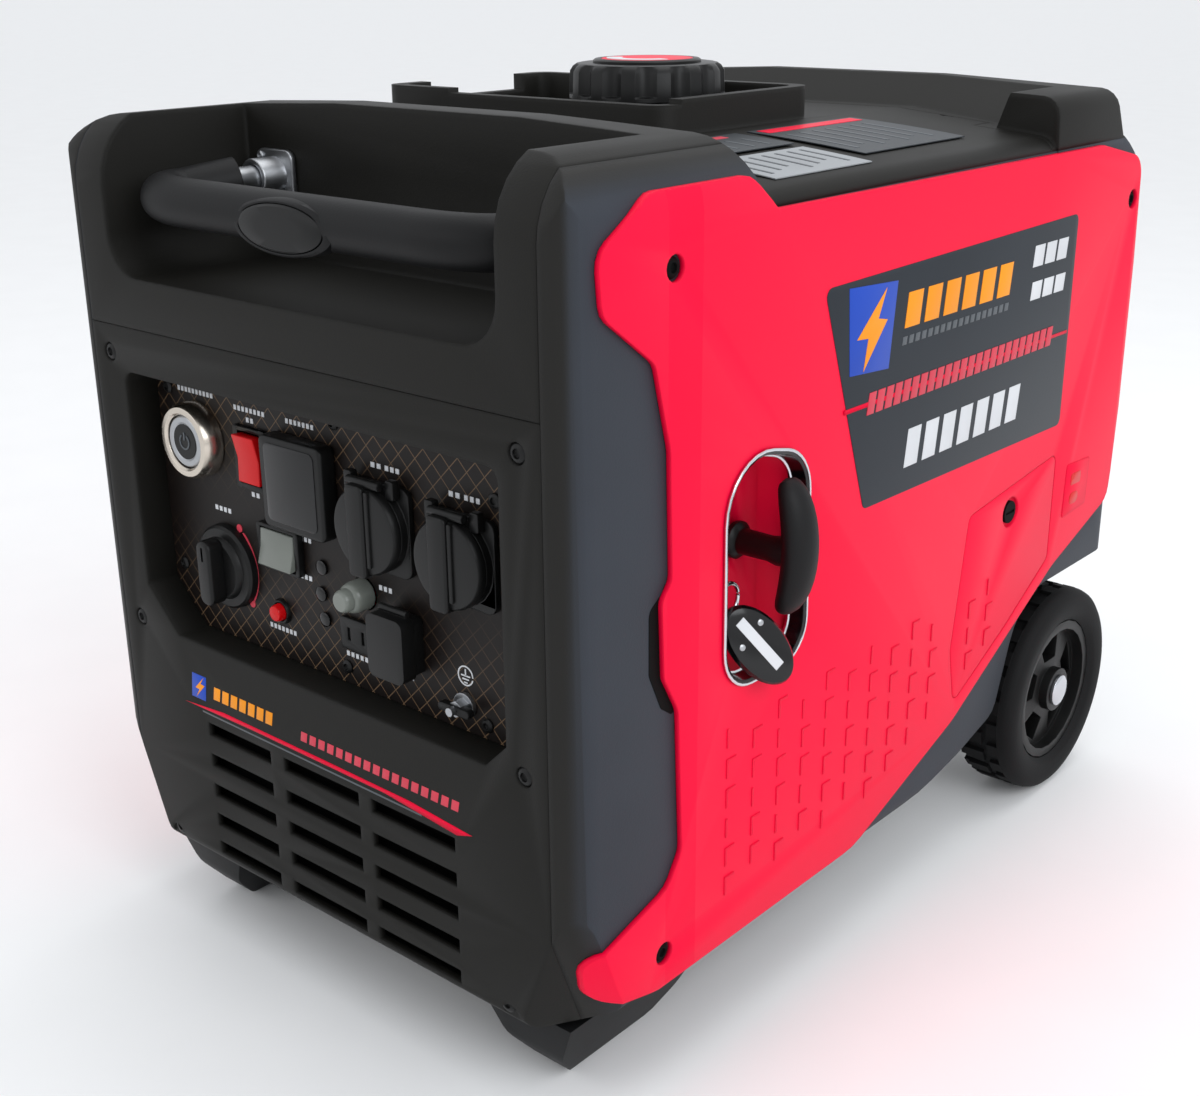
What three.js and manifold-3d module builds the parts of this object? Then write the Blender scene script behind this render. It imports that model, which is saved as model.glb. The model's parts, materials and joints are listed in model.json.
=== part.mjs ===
// A portable inverter generator in a closed plastic case: front control panel, pull handle in the
// top of the nose, recoil starter in the right side, fuel cap on top, two wheels at the back.
// Millimetres. +Z is up, the control panel faces -Y, and the starter side is +X.
// The middle of the case is x = 0 until the last step, which centres the whole object's box.
import * as THREE from "three";
import { mergeVertices } from "three/addons/utils/BufferGeometryUtils.js";
import Module from "manifold-3d";

// Case
const HALF_WIDTH = 205;
const FRONT_Y = -320;
const REAR_Y = 303;
const BOTTOM_Z = 55;
const WALL = 4;
const GAP = 0.3;
const NOSE_PEAK = 534.5;
const COVER_PEAK = 513;
const RAIL_PEAK = 532;
const FLAT_CROWN = 3000;
const COVER_CROWN = 1500;
const SHOULDER_RADIUS = 36;
const FRONT_CORNER = 19;
const NOSE_BACK = -160;
const SEAM_X = 187;
const NOSE_SEAM_Z = 407.5;
const COVER_EDGE_Z = 491;
const RAIL_FRONT = 178;
const RAIL_RIDGE = 230;
const RAIL_BACK = 263;
const BLOCK_FRONT = 164;
const BLOCK_INNER = 146;
const BLOCK_LEAN = 30;
const RAIL_SHOULDER = 12;
const PANEL_SKIN = 3;

// Carry recess and pull handle
const RECESS_HALF = 160;
const RECESS_FLOOR = 438;
const RECESS_BACK = -213;
const HANDLE_Z = 483.5;
const HANDLE_Y = -304;
const GRIP_RADIUS = 14.5;
const ARM_X = 130;
const ARM_Z = 488;
const ARM_RADIUS = 8;
const ARM_END = 70;

// Control panel
const WINDOW_HALF = 158;
const WINDOW_LOW = 213;
const WINDOW_HIGH = 380;
const FACE_Y = -298;
const PLATE = 4;
const SOCKET_RADIUS = 25;
const SOCKET_X = [46, 110];
const SOCKET_Z = [320, 316];

// Recoil starter
const PULL_Y = -152;
const PULL_Z = 302;
const CUP_FLOOR = 176;
const GRIP_OUT = 234;
const ROPE_RADIUS = 2.5;
const FOB_LENGTH = 56;
const FOB_WIDTH = 32;
const FOB_DEPTH = 8;
const FOB_BACK = [210, -174, 253];
const RING_CENTRE = [200, -186, 281];

// Fuel
const CAP_X = -22;
const CAP_Y = 14;
const CAP_TOP = 550.5;
const CAP_RADIUS = 52;

// Wheels and feet
const WHEEL_Y = 229;
const WHEEL_RADIUS = 80;
const WHEEL_OUT = 213.5;
const WHEEL_WIDTH = 45;
const RIM_RADIUS = 55;
const AXLE_RADIUS = 8;
const SPOKES = 5;
const FOOT_OUTER = 160;

// Inside
const ENGINE_LOW = 96;
const SHAFT_Z = 230;
const EXHAUST_X = -95;
const EXHAUST_Z = 300;

const wasm = await Module();
wasm.setup();

// ---- Solids -------------------------------------------------------------------------------

// A closed geometry as a solid that can be joined and cut.
function solid(geometry) {
  const plain = geometry.clone();
  plain.deleteAttribute("normal");
  plain.deleteAttribute("uv");
  const merged = mergeVertices(plain, 1e-4);
  return new wasm.Manifold(new wasm.Mesh({
    numProp: 3,
    vertProperties: merged.attributes.position.array,
    triVerts: new Uint32Array(merged.index.array),
  }));
}

// A solid as a geometry.
function geometryOf(shape) {
  const mesh = shape.getMesh();
  const geometry = new THREE.BufferGeometry();
  geometry.setAttribute("position", new THREE.BufferAttribute(mesh.vertProperties, 3));
  geometry.setIndex(new THREE.BufferAttribute(mesh.triVerts, 1));
  geometry.computeVertexNormals();
  return geometry;
}

// The points of a polygon whose corners [a, b, radius] are rounded by arcs.
function rounded(corners) {
  const arcStep = (r) => (r > 17 ? Math.PI / 14 : Math.PI / 8);
  const count = corners.length;
  return corners.flatMap(([a, b, radius = 0], i) => {
    const here = new THREE.Vector2(a, b);
    if (!radius) return [here];
    const [pa, pb] = corners[(i + count - 1) % count];
    const [na, nb] = corners[(i + 1) % count];
    const back = new THREE.Vector2(pa, pb).sub(here).normalize();
    const on = new THREE.Vector2(na, nb).sub(here).normalize();
    const half = Math.acos(THREE.MathUtils.clamp(back.dot(on), -1, 1)) / 2;
    const middle = back.clone().add(on).normalize().multiplyScalar(radius / Math.sin(half));
    const centre = here.clone().add(middle);
    const start = back.multiplyScalar(radius / Math.tan(half)).add(here).sub(centre);
    const end = on.multiplyScalar(radius / Math.tan(half)).add(here).sub(centre);
    const turn = Math.atan2(start.cross(end), start.dot(end));
    const steps = Math.max(2, Math.round(Math.abs(turn) / arcStep(radius)));
    return Array.from({ length: steps + 1 }, (_, k) =>
      start.clone().rotateAround(new THREE.Vector2(), (turn * k) / steps).add(centre));
  });
}

// A rounded rectangle's corners.
function rectangle(a0, a1, b0, b1, radius = 0) {
  return [[a0, b0, radius], [a1, b0, radius], [a1, b1, radius], [a0, b1, radius]];
}

function prism(corners, depth, basis, offset) {
  const shape = new THREE.Shape(rounded(corners));
  const geometry = new THREE.ExtrudeGeometry(shape, { depth, bevelEnabled: false, steps: 1 });
  geometry.applyMatrix4(new THREE.Matrix4().makeBasis(...basis));
  geometry.translate(...offset);
  return solid(geometry);
}

const X = new THREE.Vector3(1, 0, 0);
const Y = new THREE.Vector3(0, 1, 0);
const Z = new THREE.Vector3(0, 0, 1);

// Prisms along each axis: corners are (y, z), (x, z) and (x, y).
const alongX = (corners, x0, x1) => prism(corners, x1 - x0, [Y, Z, X], [x0, 0, 0]);
const alongY = (corners, y0, y1) => prism(corners, y1 - y0, [X, Z, Y.clone().negate()], [0, y1, 0]);
const alongZ = (corners, z0, z1) => prism(corners, z1 - z0, [X, Y, Z], [0, 0, z0]);

function box(x0, x1, y0, y1, z0, z1) {
  const geometry = new THREE.BoxGeometry(x1 - x0, y1 - y0, z1 - z0);
  geometry.translate((x0 + x1) / 2, (y0 + y1) / 2, (z0 + z1) / 2);
  return solid(geometry);
}

// A turned piece: profile is [radius, height] from the axis and back to it.
function turned(profile, segments = 24) {
  const points = profile.map(([radius, height]) => new THREE.Vector2(radius, height));
  return new THREE.LatheGeometry(points, segments);
}

// Discs along each axis, from a low to a high coordinate, with an optional top radius.
function disc(radius, low, high, segments, topRadius = radius) {
  return turned([[0, low], [radius, low], [topRadius, high], [0, high]], segments);
}
function discX(y, z, radius, x0, x1, segments = 24, topRadius = radius) {
  return solid(disc(radius, x0, x1, segments, topRadius).rotateZ(-Math.PI / 2).translate(0, y, z));
}
function discY(x, z, radius, y0, y1, segments = 24, frontRadius = radius) {
  return solid(disc(frontRadius, y0, y1, segments, radius).translate(x, 0, z));
}
function discZ(x, y, radius, z0, z1, segments = 24, topRadius = radius) {
  return solid(disc(radius, z0, z1, segments, topRadius).rotateX(Math.PI / 2).translate(x, y, 0));
}

const generator = new THREE.Group();

const FINISH = {
  shell: [0x2b2c2b, 0.62, 0],
  side: [0x3d444c, 0.55, 0],
  red: [0xe01532, 0.35, 0],
  plate: [0x1d1a18, 0.45, 0],
  black: [0x151515, 0.45, 0],
  rubber: [0x1a1b1c, 0.9, 0],
  chrome: [0xd5d7da, 0.15, 1],
  steel: [0x9a9da0, 0.35, 1],
  metal: [0xb4b7ba, 0.45, 0.9],
  tank: [0x30343a, 0.5, 0.4],
  smoke: [0x777a76, 0.25, 0],
};

// Adds a named piece; mirror makes the other side's copy of it.
function add(name, shape, finish, mirror = false) {
  const [color, roughness, metalness] = FINISH[finish];
  const material = new THREE.MeshStandardMaterial({ color, roughness, metalness });
  const mesh = new THREE.Mesh(geometryOf(shape), material);
  mesh.name = name;
  if (mirror) mesh.scale.x = -1;
  generator.add(mesh);
}

// ---- Case ---------------------------------------------------------------------------------

// The case's cross-section under a crowned top; inset moves every wall inwards.
function section(peak, crownRadius, shoulder, inset) {
  const half = HALF_WIDTH - inset;
  const crown = (x) => peak - inset - (x * x) / (2 * crownRadius);
  const right = [
    [165 - inset, BOTTOM_Z + inset, 20],
    [half, 68 + inset, 8],
    [half, crown(half), shoulder],
    [75, crown(75)],
  ];
  const left = right.map(([x, z, r]) => [-x, z, r]).reverse();
  return [...right, ...left];
}

// Everything on the far side of the plane through three points, which run clockwise seen from there.
function beyond(a, b, c, inset) {
  const corners = [a, b, c].map((p) => new THREE.Vector3(...p));
  const plane = new THREE.Plane().setFromCoplanarPoints(...corners);
  const reach = 400;
  const geometry = new THREE.BoxGeometry(2 * reach, 2 * reach, reach);
  geometry.applyQuaternion(new THREE.Quaternion().setFromUnitVectors(Z, plane.normal));
  const centre = plane.projectPoint(new THREE.Vector3(...b), new THREE.Vector3());
  centre.addScaledVector(plane.normal, reach / 2 - inset);
  return solid(geometry.translate(...centre));
}

// The case filled in, with every wall moved inwards by inset.
function caseSolid(inset) {
  const front = FRONT_Y + inset;
  const rear = REAR_Y - inset;
  const low = BOTTOM_Z + inset;
  const nose = alongY(section(NOSE_PEAK, FLAT_CROWN, SHOULDER_RADIUS, inset), front, NOSE_BACK - inset)
    .intersect(alongX([
      [front, low, 12],
      [front, NOSE_PEAK - inset, 45],
      [-186 - inset / 2, NOSE_PEAK - inset, 14],
      [NOSE_BACK - inset, 486],
      [NOSE_BACK - inset, low],
    ], -300, 300));
  const middle = alongY(section(COVER_PEAK, COVER_CROWN, 14, inset), -200, rear);
  const ridge = [
    [RAIL_FRONT, 480],
    [RAIL_FRONT + inset, 500 - inset],
    [RAIL_RIDGE, RAIL_PEAK - inset, 6],
    [RAIL_RIDGE + 12 - inset, RAIL_PEAK - inset, 5],
    [RAIL_BACK - inset, 492],
    [RAIL_BACK - inset, 480],
  ];
  const block = [
    [BLOCK_FRONT + inset, 480],
    [BLOCK_FRONT - 6 + inset, RAIL_PEAK - inset, 8],
    [RAIL_RIDGE - 8, RAIL_PEAK - inset, 40],
    [RAIL_BACK - inset, 492],
    [RAIL_BACK - inset, 480],
  ];
  const lean = [
    [BLOCK_INNER + inset, 470],
    [300, 470],
    [300, RAIL_PEAK + 10],
    [BLOCK_INNER + BLOCK_LEAN + inset, RAIL_PEAK + 10],
  ];
  const rightBlock = alongX(block, 100, 300).intersect(alongY(lean, 100, 300));
  const leftLean = lean.map(([x, z]) => [-x, z]).reverse();
  const leftBlock = alongX(block, -300, -100).intersect(alongY(leftLean, 100, 300));
  const rail = alongY(section(RAIL_PEAK, FLAT_CROWN, RAIL_SHOULDER, inset), 140, rear)
    .intersect(alongX(ridge, -300, 300).add(rightBlock).add(leftBlock));
  const side = alongX([
    [-210, low],
    [-50, low, 40],
    [85, 80 + inset, 40],
    [135, 94 + inset, 15],
    [164, 176 + inset, 50],
    [rear, 176 + inset, 8],
    [rear, 350, 60],
    [292 - inset, 474 - inset / 2, 22],
    [RAIL_BACK - inset / 2, 495 - inset, 8],
    [RAIL_BACK - inset / 2, RAIL_PEAK + 10],
    [-210, RAIL_PEAK + 10],
  ].reverse(), -300, 300);
  const half = HALF_WIDTH - inset;
  const plan = alongZ([
    [-half, front, FRONT_CORNER],
    [half, front, FRONT_CORNER],
    [half, rear, 14],
    [-half, rear, 14],
  ], 0, 600);
  const whole = nose.add(middle.add(rail).intersect(side)).intersect(plan);
  return whole
    .subtract(beyond([198, FRONT_Y, 150], [160, FRONT_Y, 52], [206, -278, 60], inset))
    .subtract(beyond([-198, FRONT_Y, 150], [-206, -278, 60], [-160, FRONT_Y, 52], inset));
}

const filled = caseSolid(0);
const hollow = caseSolid(WALL);
const walls = filled.subtract(hollow);
const FAR = 700;

// The part of the side that the coloured cover hides, and the cover itself.
const coverOutline = [
  [-160, 491, 6],
  [-182, 510, 12],
  [-262, 510, 20],
  [-302, 487, 14],
  [-299, 457, 12],
  [-260, 428, 10],
  [-248, 382, 20],
  [-246, 312, 8],
  [-254, 302, 6],
  [-252, 258, 8],
  [-240, 236, 12],
  [-236, 149, 12],
  [-248, 130, 16],
  [-310, 112, 12],
  [-302, 80, 18],
  [-255, 68, 20],
  [-57, 69, 60],
  [67, 114, 60],
  [204, 189, 60],
  [290, 220, 14],
  [303, 340, 60],
  [291, 476, 18],
  [225, 489.5, 10],
];
const serviceHole = [
  [-150, 452, 20],
  [-215, 452, 20],
  [-215, 150, 20],
  [-90, 100, 20],
  [30, 128, 20],
  [262, 240, 20],
  [262, 440, 20],
];
const pocketOutline = [[-124, 232, 22], [-199, 232, 24], [-200, 370, 32], [-126, 352, 28]];
const doorOutline = [
  [71, 262, 6],
  [57, 170, 10],
  [66, 128, 6],
  [135, 163, 60],
  [194, 198, 6],
  [194, 277, 6],
];
const DOOR_SCREW = [130, 250];
const coverScrews = [[-245, 472.5], [282, 447], [-251, 90]];

function grown(corners, by) {
  const middle = corners.reduce((sum, [a, b]) => [sum[0] + a, sum[1] + b], [0, 0]);
  const [ca, cb] = middle.map((value) => value / corners.length);
  return corners.map(([a, b, r = 0]) =>
    [a + by * Math.sign(a - ca), b + by * Math.sign(b - cb), Math.max(0, r + by)]);
}

// The coloured side cover, a skin that lies on the case.
function sideCover() {
  const skin = caseSolid(-PANEL_SKIN - GAP).subtract(caseSolid(-GAP));
  let cover = skin.intersect(alongX(coverOutline.slice().reverse(), 150, 215));
  for (const [y, z] of coverScrews) {
    cover = cover.subtract(discX(y, z, 7, 150, 260, 16));
  }
  return cover;
}

const rightHalf = box(SEAM_X + GAP / 2, 300, -400, 400, 0, FAR);
const overCover = box(-300, 300, NOSE_BACK - 2, 400, COVER_EDGE_Z, FAR);
const sideShell = walls.intersect(rightHalf)
  .subtract(overCover)
  .subtract(alongX(serviceHole.slice().reverse(), 150, 260));
add("right_side_shell", sideShell, "side");
add("left_side_shell", sideShell, "side", true);

const cover = sideCover();
const doorFrame = alongX(grown(doorOutline, 0.5).reverse(), 150, 260);
const rightCover = cover
  .subtract(alongX(grown(pocketOutline, 0.4).reverse(), 150, 260))
  .subtract(doorFrame);
add("right_side_cover", rightCover, "red");
add("left_side_cover", cover, "red", true);

// The service door: its screw sits in a sunk boss and reaches through the side shell.
const SCREW_WELL = 11;
const wellCut = discX(...DOOR_SCREW, SCREW_WELL, 205.2, 260, 24);
const door = cover
  .intersect(alongX(doorOutline.slice().reverse(), 150, 260))
  .subtract(discX(...DOOR_SCREW, SCREW_WELL, 150, 260, 24))
  .add(discX(...DOOR_SCREW, SCREW_WELL + 4, 200, 206, 24).subtract(wellCut))
  .subtract(discX(...DOOR_SCREW, 5, 190, 260, 16));
add("service_door", door, "red");
const [screwY, screwZ] = DOOR_SCREW;
add("service_door_screw", discX(...DOOR_SCREW, 8, 205.5, 208, 16)
  .add(discX(...DOOR_SCREW, 3.5, 188, 205.8, 12))
  .subtract(box(207, 210, screwY - 6, screwY + 6, screwZ - 1, screwZ + 1)), "black");

// ---- Nose: fascia below, carry recess above --------------------------------------------------

const noseFront = (low, high, back) =>
  box(-SEAM_X + GAP / 2, SEAM_X - GAP / 2, -400, back, low, high);
const recess = alongY(rectangle(-RECESS_HALF, RECESS_HALF, RECESS_FLOOR, FAR, 25), -400, RECESS_BACK);
const recessTub = alongY(
  rectangle(-RECESS_HALF - WALL, RECESS_HALF + WALL, RECESS_FLOOR - WALL, FAR, 25 + WALL),
  -400, RECESS_BACK + WALL);
const noseRegion = noseFront(NOSE_SEAM_Z + GAP / 2, FAR, NOSE_BACK - GAP);
let handleShell = walls
  .add(recessTub.intersect(filled))
  .intersect(noseRegion)
  .subtract(recess);
for (const x of [-ARM_X, ARM_X]) {
  handleShell = handleShell.subtract(discY(x, ARM_Z, 12.4, -260, -200));
}
add("handle_shell", handleShell, "shell");

const windowOutline = (by) => [
  [-WINDOW_HALF - by, WINDOW_LOW + 28 - by / 2],
  [-WINDOW_HALF + 28 - by / 2, WINDOW_LOW - by],
  [WINDOW_HALF - 16 + by / 2, WINDOW_LOW - by],
  [WINDOW_HALF + by, WINDOW_LOW + 16 - by / 2],
  [WINDOW_HALF + by, WINDOW_HIGH + by, 8],
  [-WINDOW_HALF - by, WINDOW_HIGH + by, 8],
];
const ventColumns = [[-107, -45], [-32, 36], [47, 116]];
const ventRows = [155, 133, 111.5, 90, 69.5];
const VENT_HALF = 4.5;
const fasciaScrews = [[171, 390], [170, 215.5], [155, 63]];
let fascia = walls
  .intersect(noseFront(0, NOSE_SEAM_Z - GAP / 2, -290))
  .add(alongY(windowOutline(WALL), FRONT_Y + 1, FACE_Y + PLATE))
  .subtract(alongY(windowOutline(0), -400, -200));
for (const z of ventRows) {
  for (const [left, right] of ventColumns) {
    fascia = fascia.subtract(alongY(rectangle(left, right, z - VENT_HALF, z + VENT_HALF), -400, -300));
  }
}
for (const [x, z] of fasciaScrews) {
  fascia = fascia.subtract(discY(x, z, 6, -400, -318, 16)).subtract(discY(-x, z, 6, -400, -318, 16));
}
add("front_fascia", fascia, "shell");

// ---- Top, rear and bottom ----------------------------------------------------------------------

// The raised rail across the back, with a block at each end, belongs to the rear cover.
const railRegion = (by) => box(-300, 300, RAIL_FRONT - by, 400, COVER_EDGE_Z, FAR)
  .add(box(BLOCK_INNER - by, 300, BLOCK_FRONT - 8 - by, 400, COVER_EDGE_Z, FAR))
  .add(box(-300, -BLOCK_INNER + by, BLOCK_FRONT - 8 - by, 400, COVER_EDGE_Z, FAR));

// The raised wall round the fuel cap: lower along its left side.
const bundOuter = [[66, -78, 18], [66, 84, 18], [-182, 84, 14], [-182, -78, 14]];
const bundInner = [[56, -68, 10], [56, 74, 10], [-172, 74, 8], [-172, -68, 8]];
const bund = alongZ(bundOuter, 504, 532)
  .subtract(alongZ(bundInner, 400, FAR))
  .subtract(box(-118, 300, -200, -60, 529, FAR))
  .subtract(box(-300, -118, -42, 52, 521, FAR));
let topCover = walls
  .intersect(box(-300, 300, NOSE_BACK + GAP / 2, 400, COVER_EDGE_Z + GAP / 2, FAR))
  .subtract(railRegion(GAP))
  .add(bund)
  .subtract(discZ(CAP_X, CAP_Y, 40, 400, FAR, 24));
for (const [x, y] of [[143, -139], [113, 180], [-143, -139], [-113, 180]]) {
  topCover = topCover.subtract(discZ(x, y, 6, 495, FAR, 16));
}
add("top_cover", topCover, "shell");

const rearRegion = box(-SEAM_X + GAP / 2, SEAM_X - GAP / 2, REAR_Y - 18, 400, 183, 495)
  .add(box(-SEAM_X + GAP / 2, SEAM_X - GAP / 2, RAIL_BACK - 12, 400, 460, 495))
  .add(railRegion(0));
let rearCover = walls.intersect(rearRegion)
  .subtract(box(-300, -SEAM_X + GAP / 2, 0, 400, 0, COVER_EDGE_Z + GAP / 2))
  .subtract(box(SEAM_X - GAP / 2, 300, 0, 400, 0, COVER_EDGE_Z + GAP / 2));
rearCover = rearCover.add(discY(EXHAUST_X, EXHAUST_Z, 38, REAR_Y - WALL, REAR_Y + 4, 24))
  .subtract(discY(EXHAUST_X, EXHAUST_Z, 27, 200, 400, 24));
for (const z of [230, 262, 294, 326, 358, 390]) {
  rearCover = rearCover.subtract(alongY(rectangle(-20, 150, z - 7, z + 7), 250, 400));
}
add("rear_cover", rearCover, "shell");

const trayRegion = box(-SEAM_X + GAP / 2, SEAM_X - GAP / 2, -290 + GAP, 400, 0, 182.5);
const plateOutline = [
  [150, 178], [292, 178], [282, 90], [256, 62, 16], [206, 62, 16], [172, 96, 10],
].reverse();
let baseTray = walls.intersect(trayRegion)
  .add(alongX(plateOutline, 118, 126))
  .add(alongX(plateOutline, -126, -118))
  .subtract(discX(WHEEL_Y, WHEEL_RADIUS, AXLE_RADIUS + GAP, -200, 200));
for (const [x, y, low] of [[-70, -40, 57], [70, -40, 57], [-70, 60, 80], [70, 60, 80]]) {
  baseTray = baseTray.add(discZ(x, y, 16, low, ENGINE_LOW, 16));
}
for (const x of [-100, -50, 0, 50, 100]) {
  baseTray = baseTray.subtract(alongZ(rectangle(x - 12, x + 12, -180, -100, 8), 0, 70));
}
add("base_tray", baseTray, "shell");

const FOOT_TOP = BOTTOM_Z - GAP;
const footSide = [
  [-303, FOOT_TOP],
  [-296, 24, 20],
  [-276, 0, 18],
  [-215, 0, 16],
  [-188, 20, 20],
  [-176, FOOT_TOP],
];
const footFront = [
  [138, 0, 8],
  [FOOT_OUTER, 0, 12],
  [184, FOOT_TOP],
  [112, FOOT_TOP],
];
const foot = alongX(footSide.slice().reverse(), 100, 220).intersect(alongY(footFront, -400, 0));
add("right_foot", foot, "rubber");
add("left_foot", foot, "rubber", true);

// ---- Wheels --------------------------------------------------------------------------------------

const wheelAt = (geometry) => solid(geometry.rotateZ(-Math.PI / 2).translate(0, WHEEL_Y, WHEEL_RADIUS));
const inner = WHEEL_OUT - WHEEL_WIDTH;
const tyre = wheelAt(new THREE.LatheGeometry([
  [RIM_RADIUS, inner + 4],
  [62, inner],
  [76, inner + 2],
  [WHEEL_RADIUS, inner + 9],
  [WHEEL_RADIUS, WHEEL_OUT - 9],
  [76, WHEEL_OUT - 2],
  [62, WHEEL_OUT],
  [RIM_RADIUS, WHEEL_OUT - 4],
  [RIM_RADIUS, inner + 4],
].map(([r, x]) => new THREE.Vector2(r, x)), 24));
let rim = wheelAt(turned([
  [AXLE_RADIUS + GAP, inner + 2],
  [16, inner + 2],
  [17, inner + 14],
  [48, inner + 16],
  [48, inner + 6],
  [RIM_RADIUS - GAP, inner + 5],
  [RIM_RADIUS - GAP, WHEEL_OUT - 5],
  [48, WHEEL_OUT - 5],
  [48, WHEEL_OUT - 14],
  [17, WHEEL_OUT - 10],
  [17, WHEEL_OUT - 3],
  [AXLE_RADIUS + GAP, WHEEL_OUT - 3],
  [AXLE_RADIUS + GAP, inner + 2],
], 24));
for (let spoke = 0; spoke < SPOKES; spoke += 1) {
  const window = prism([[-9, 23], [9, 23], [15, 41], [-15, 41]], 80, [Y, Z, X], [150, 0, 0]);
  const geometry = geometryOf(window).rotateX((spoke * 2 * Math.PI) / SPOKES);
  rim = rim.subtract(solid(geometry.translate(0, WHEEL_Y, WHEEL_RADIUS)));
}
const hubCap = wheelAt(turned([
  [0, WHEEL_OUT - 2.6],
  [12, WHEEL_OUT - 2.6],
  [12, WHEEL_OUT],
  [9, WHEEL_OUT + 1],
  [0, WHEEL_OUT + 1],
], 16));
for (const [side, mirror] of [["right", false], ["left", true]]) {
  add(`${side}_tyre`, tyre, "rubber", mirror);
  add(`${side}_rim`, rim, "black", mirror);
  add(`${side}_hub_cap`, hubCap, "chrome", mirror);
}
add("axle", discX(WHEEL_Y, WHEEL_RADIUS, AXLE_RADIUS, -WHEEL_OUT + 4.5, WHEEL_OUT - 4.5, 24), "steel");

// ---- Pull handle ---------------------------------------------------------------------------------

// The grip is one thick bar with its two ends bent back to the arms.
const gripPath = new THREE.CurvePath();
const corner = 32;
const bow = 11;
const gripEnd = -246;
const gripFall = HANDLE_Y + 30;
function gripPoint(x, y) {
  const z = THREE.MathUtils.mapLinear(Math.max(y, gripFall), gripEnd, gripFall, ARM_Z, HANDLE_Z);
  return new THREE.Vector3(x, y, z);
}
const gripStops = [
  new THREE.LineCurve3(gripPoint(-ARM_X, gripEnd), gripPoint(-ARM_X - bow, HANDLE_Y + corner)),
  new THREE.QuadraticBezierCurve3(
    gripPoint(-ARM_X - bow, HANDLE_Y + corner),
    gripPoint(-ARM_X - bow - 4, HANDLE_Y),
    gripPoint(-ARM_X + corner, HANDLE_Y)),
  new THREE.LineCurve3(gripPoint(-ARM_X + corner, HANDLE_Y), gripPoint(ARM_X - corner, HANDLE_Y)),
  new THREE.QuadraticBezierCurve3(
    gripPoint(ARM_X - corner, HANDLE_Y),
    gripPoint(ARM_X + bow + 4, HANDLE_Y),
    gripPoint(ARM_X + bow, HANDLE_Y + corner)),
  new THREE.LineCurve3(gripPoint(ARM_X + bow, HANDLE_Y + corner), gripPoint(ARM_X, gripEnd)),
];
gripStops.forEach((piece) => gripPath.add(piece));
const gripRing = new THREE.Shape(Array.from({ length: 12 }, (_, i) =>
  new THREE.Vector2(GRIP_RADIUS, 0).rotateAround(new THREE.Vector2(), (i * Math.PI) / 6)));
const gripGeometry = new THREE.ExtrudeGeometry(gripRing, {
  steps: 20,
  extrudePath: gripPath,
  bevelEnabled: false,
});
const BUTTON_Z = HANDLE_Z - 3;
const buttonOval = (by) => Array.from({ length: 20 }, (_, i) =>
  [(35 + by) * Math.cos((i * Math.PI) / 10), BUTTON_Z + (13 + by) * Math.sin((i * Math.PI) / 10)]);
let pullHandle = solid(gripGeometry);
for (const x of [-ARM_X, ARM_X]) {
  pullHandle = pullHandle.add(discY(x, ARM_Z, ARM_RADIUS, gripEnd - 6, ARM_END, 16));
}
pullHandle = pullHandle.add(alongY(buttonOval(4), -317.5, HANDLE_Y))
  .subtract(alongY(buttonOval(0.4), -400, -309));
add("pull_handle", pullHandle, "black");
add("handle_button", alongY(buttonOval(0), -319.8, -314), "black");
for (const [side, mirror] of [["right", false], ["left", true]]) {
  const guide = discY(ARM_X, ARM_Z, 12, -234, -60, 24)
    .subtract(discY(ARM_X, ARM_Z, ARM_RADIUS + GAP, -300, 0, 24));
  add(`${side}_handle_guide`, guide, "steel", mirror);
}

// ---- Control panel ---------------------------------------------------------------------------------

const front = FACE_Y - GAP;
const START = [-118, 340];
const BREAKER = [-44, 286];
const RESET = [-50, 244];
const CAP_KEY = [27, 275];
let plate = alongY(windowOutline(-0.4), FACE_Y, FACE_Y + PLATE - 0.5);
const cutouts = [];
SOCKET_X.forEach((x, i) => cutouts.push(discY(x, SOCKET_Z[i], SOCKET_RADIUS - 2 + GAP, -310, -280, 24)));
// Holes behind the keys that rock or press into the plate.
cutouts.push(alongY(rectangle(-77, -55, 320.5, 353.5), -310, -280));
cutouts.push(alongY(rectangle(BREAKER[0] - 15.7, BREAKER[0] + 15.7, 274, 298), -310, -280));
cutouts.push(discY(...RESET, 6.2, -310, -280, 16));
cutouts.push(discY(...CAP_KEY, 10.2, -310, -280, 20));
cutouts.forEach((hole) => {
  plate = plate.subtract(hole);
});
add("control_panel", plate, "plate");

add("start_button_collar", discY(...START, 24, FACE_Y - 13, front, 24, 22)
  .subtract(discY(...START, 16.6, -400, FACE_Y - 2, 24)), "metal");
add("start_button", discY(...START, 16, FACE_Y - 11.5, FACE_Y - 6, 24, 15), "black");

const blockOn = (x, z, w, h, proud, radius, low = front) =>
  alongY(rectangle(x - w / 2, x + w / 2, z - h / 2, z + h / 2, radius), FACE_Y - proud, low);
const mainSwitch = alongX([
  [front, 322.5], [front, 351.5], [FACE_Y - 8, 352], [FACE_Y - 4.5, 337], [FACE_Y - 5, 322],
].reverse(), -76, -56);
add("main_switch", mainSwitch, "red");
add("display_module", blockOn(-18, 331, 55, 56, 12, 5), "black");

add("breaker_frame", blockOn(...BREAKER, 38, 28, 5, 2)
  .subtract(blockOn(...BREAKER, 31, 23.8, 20, 0, FACE_Y + 1)), "black");
const rocker = alongX([
  [FACE_Y - 1.6, 275.5], [FACE_Y - 1.6, 296.5], [FACE_Y - 5, 297], [FACE_Y - 6, 286], [FACE_Y - 9, 275],
].reverse(), BREAKER[0] - 15, BREAKER[0] + 15);
add("breaker_rocker", rocker, "smoke");

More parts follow.
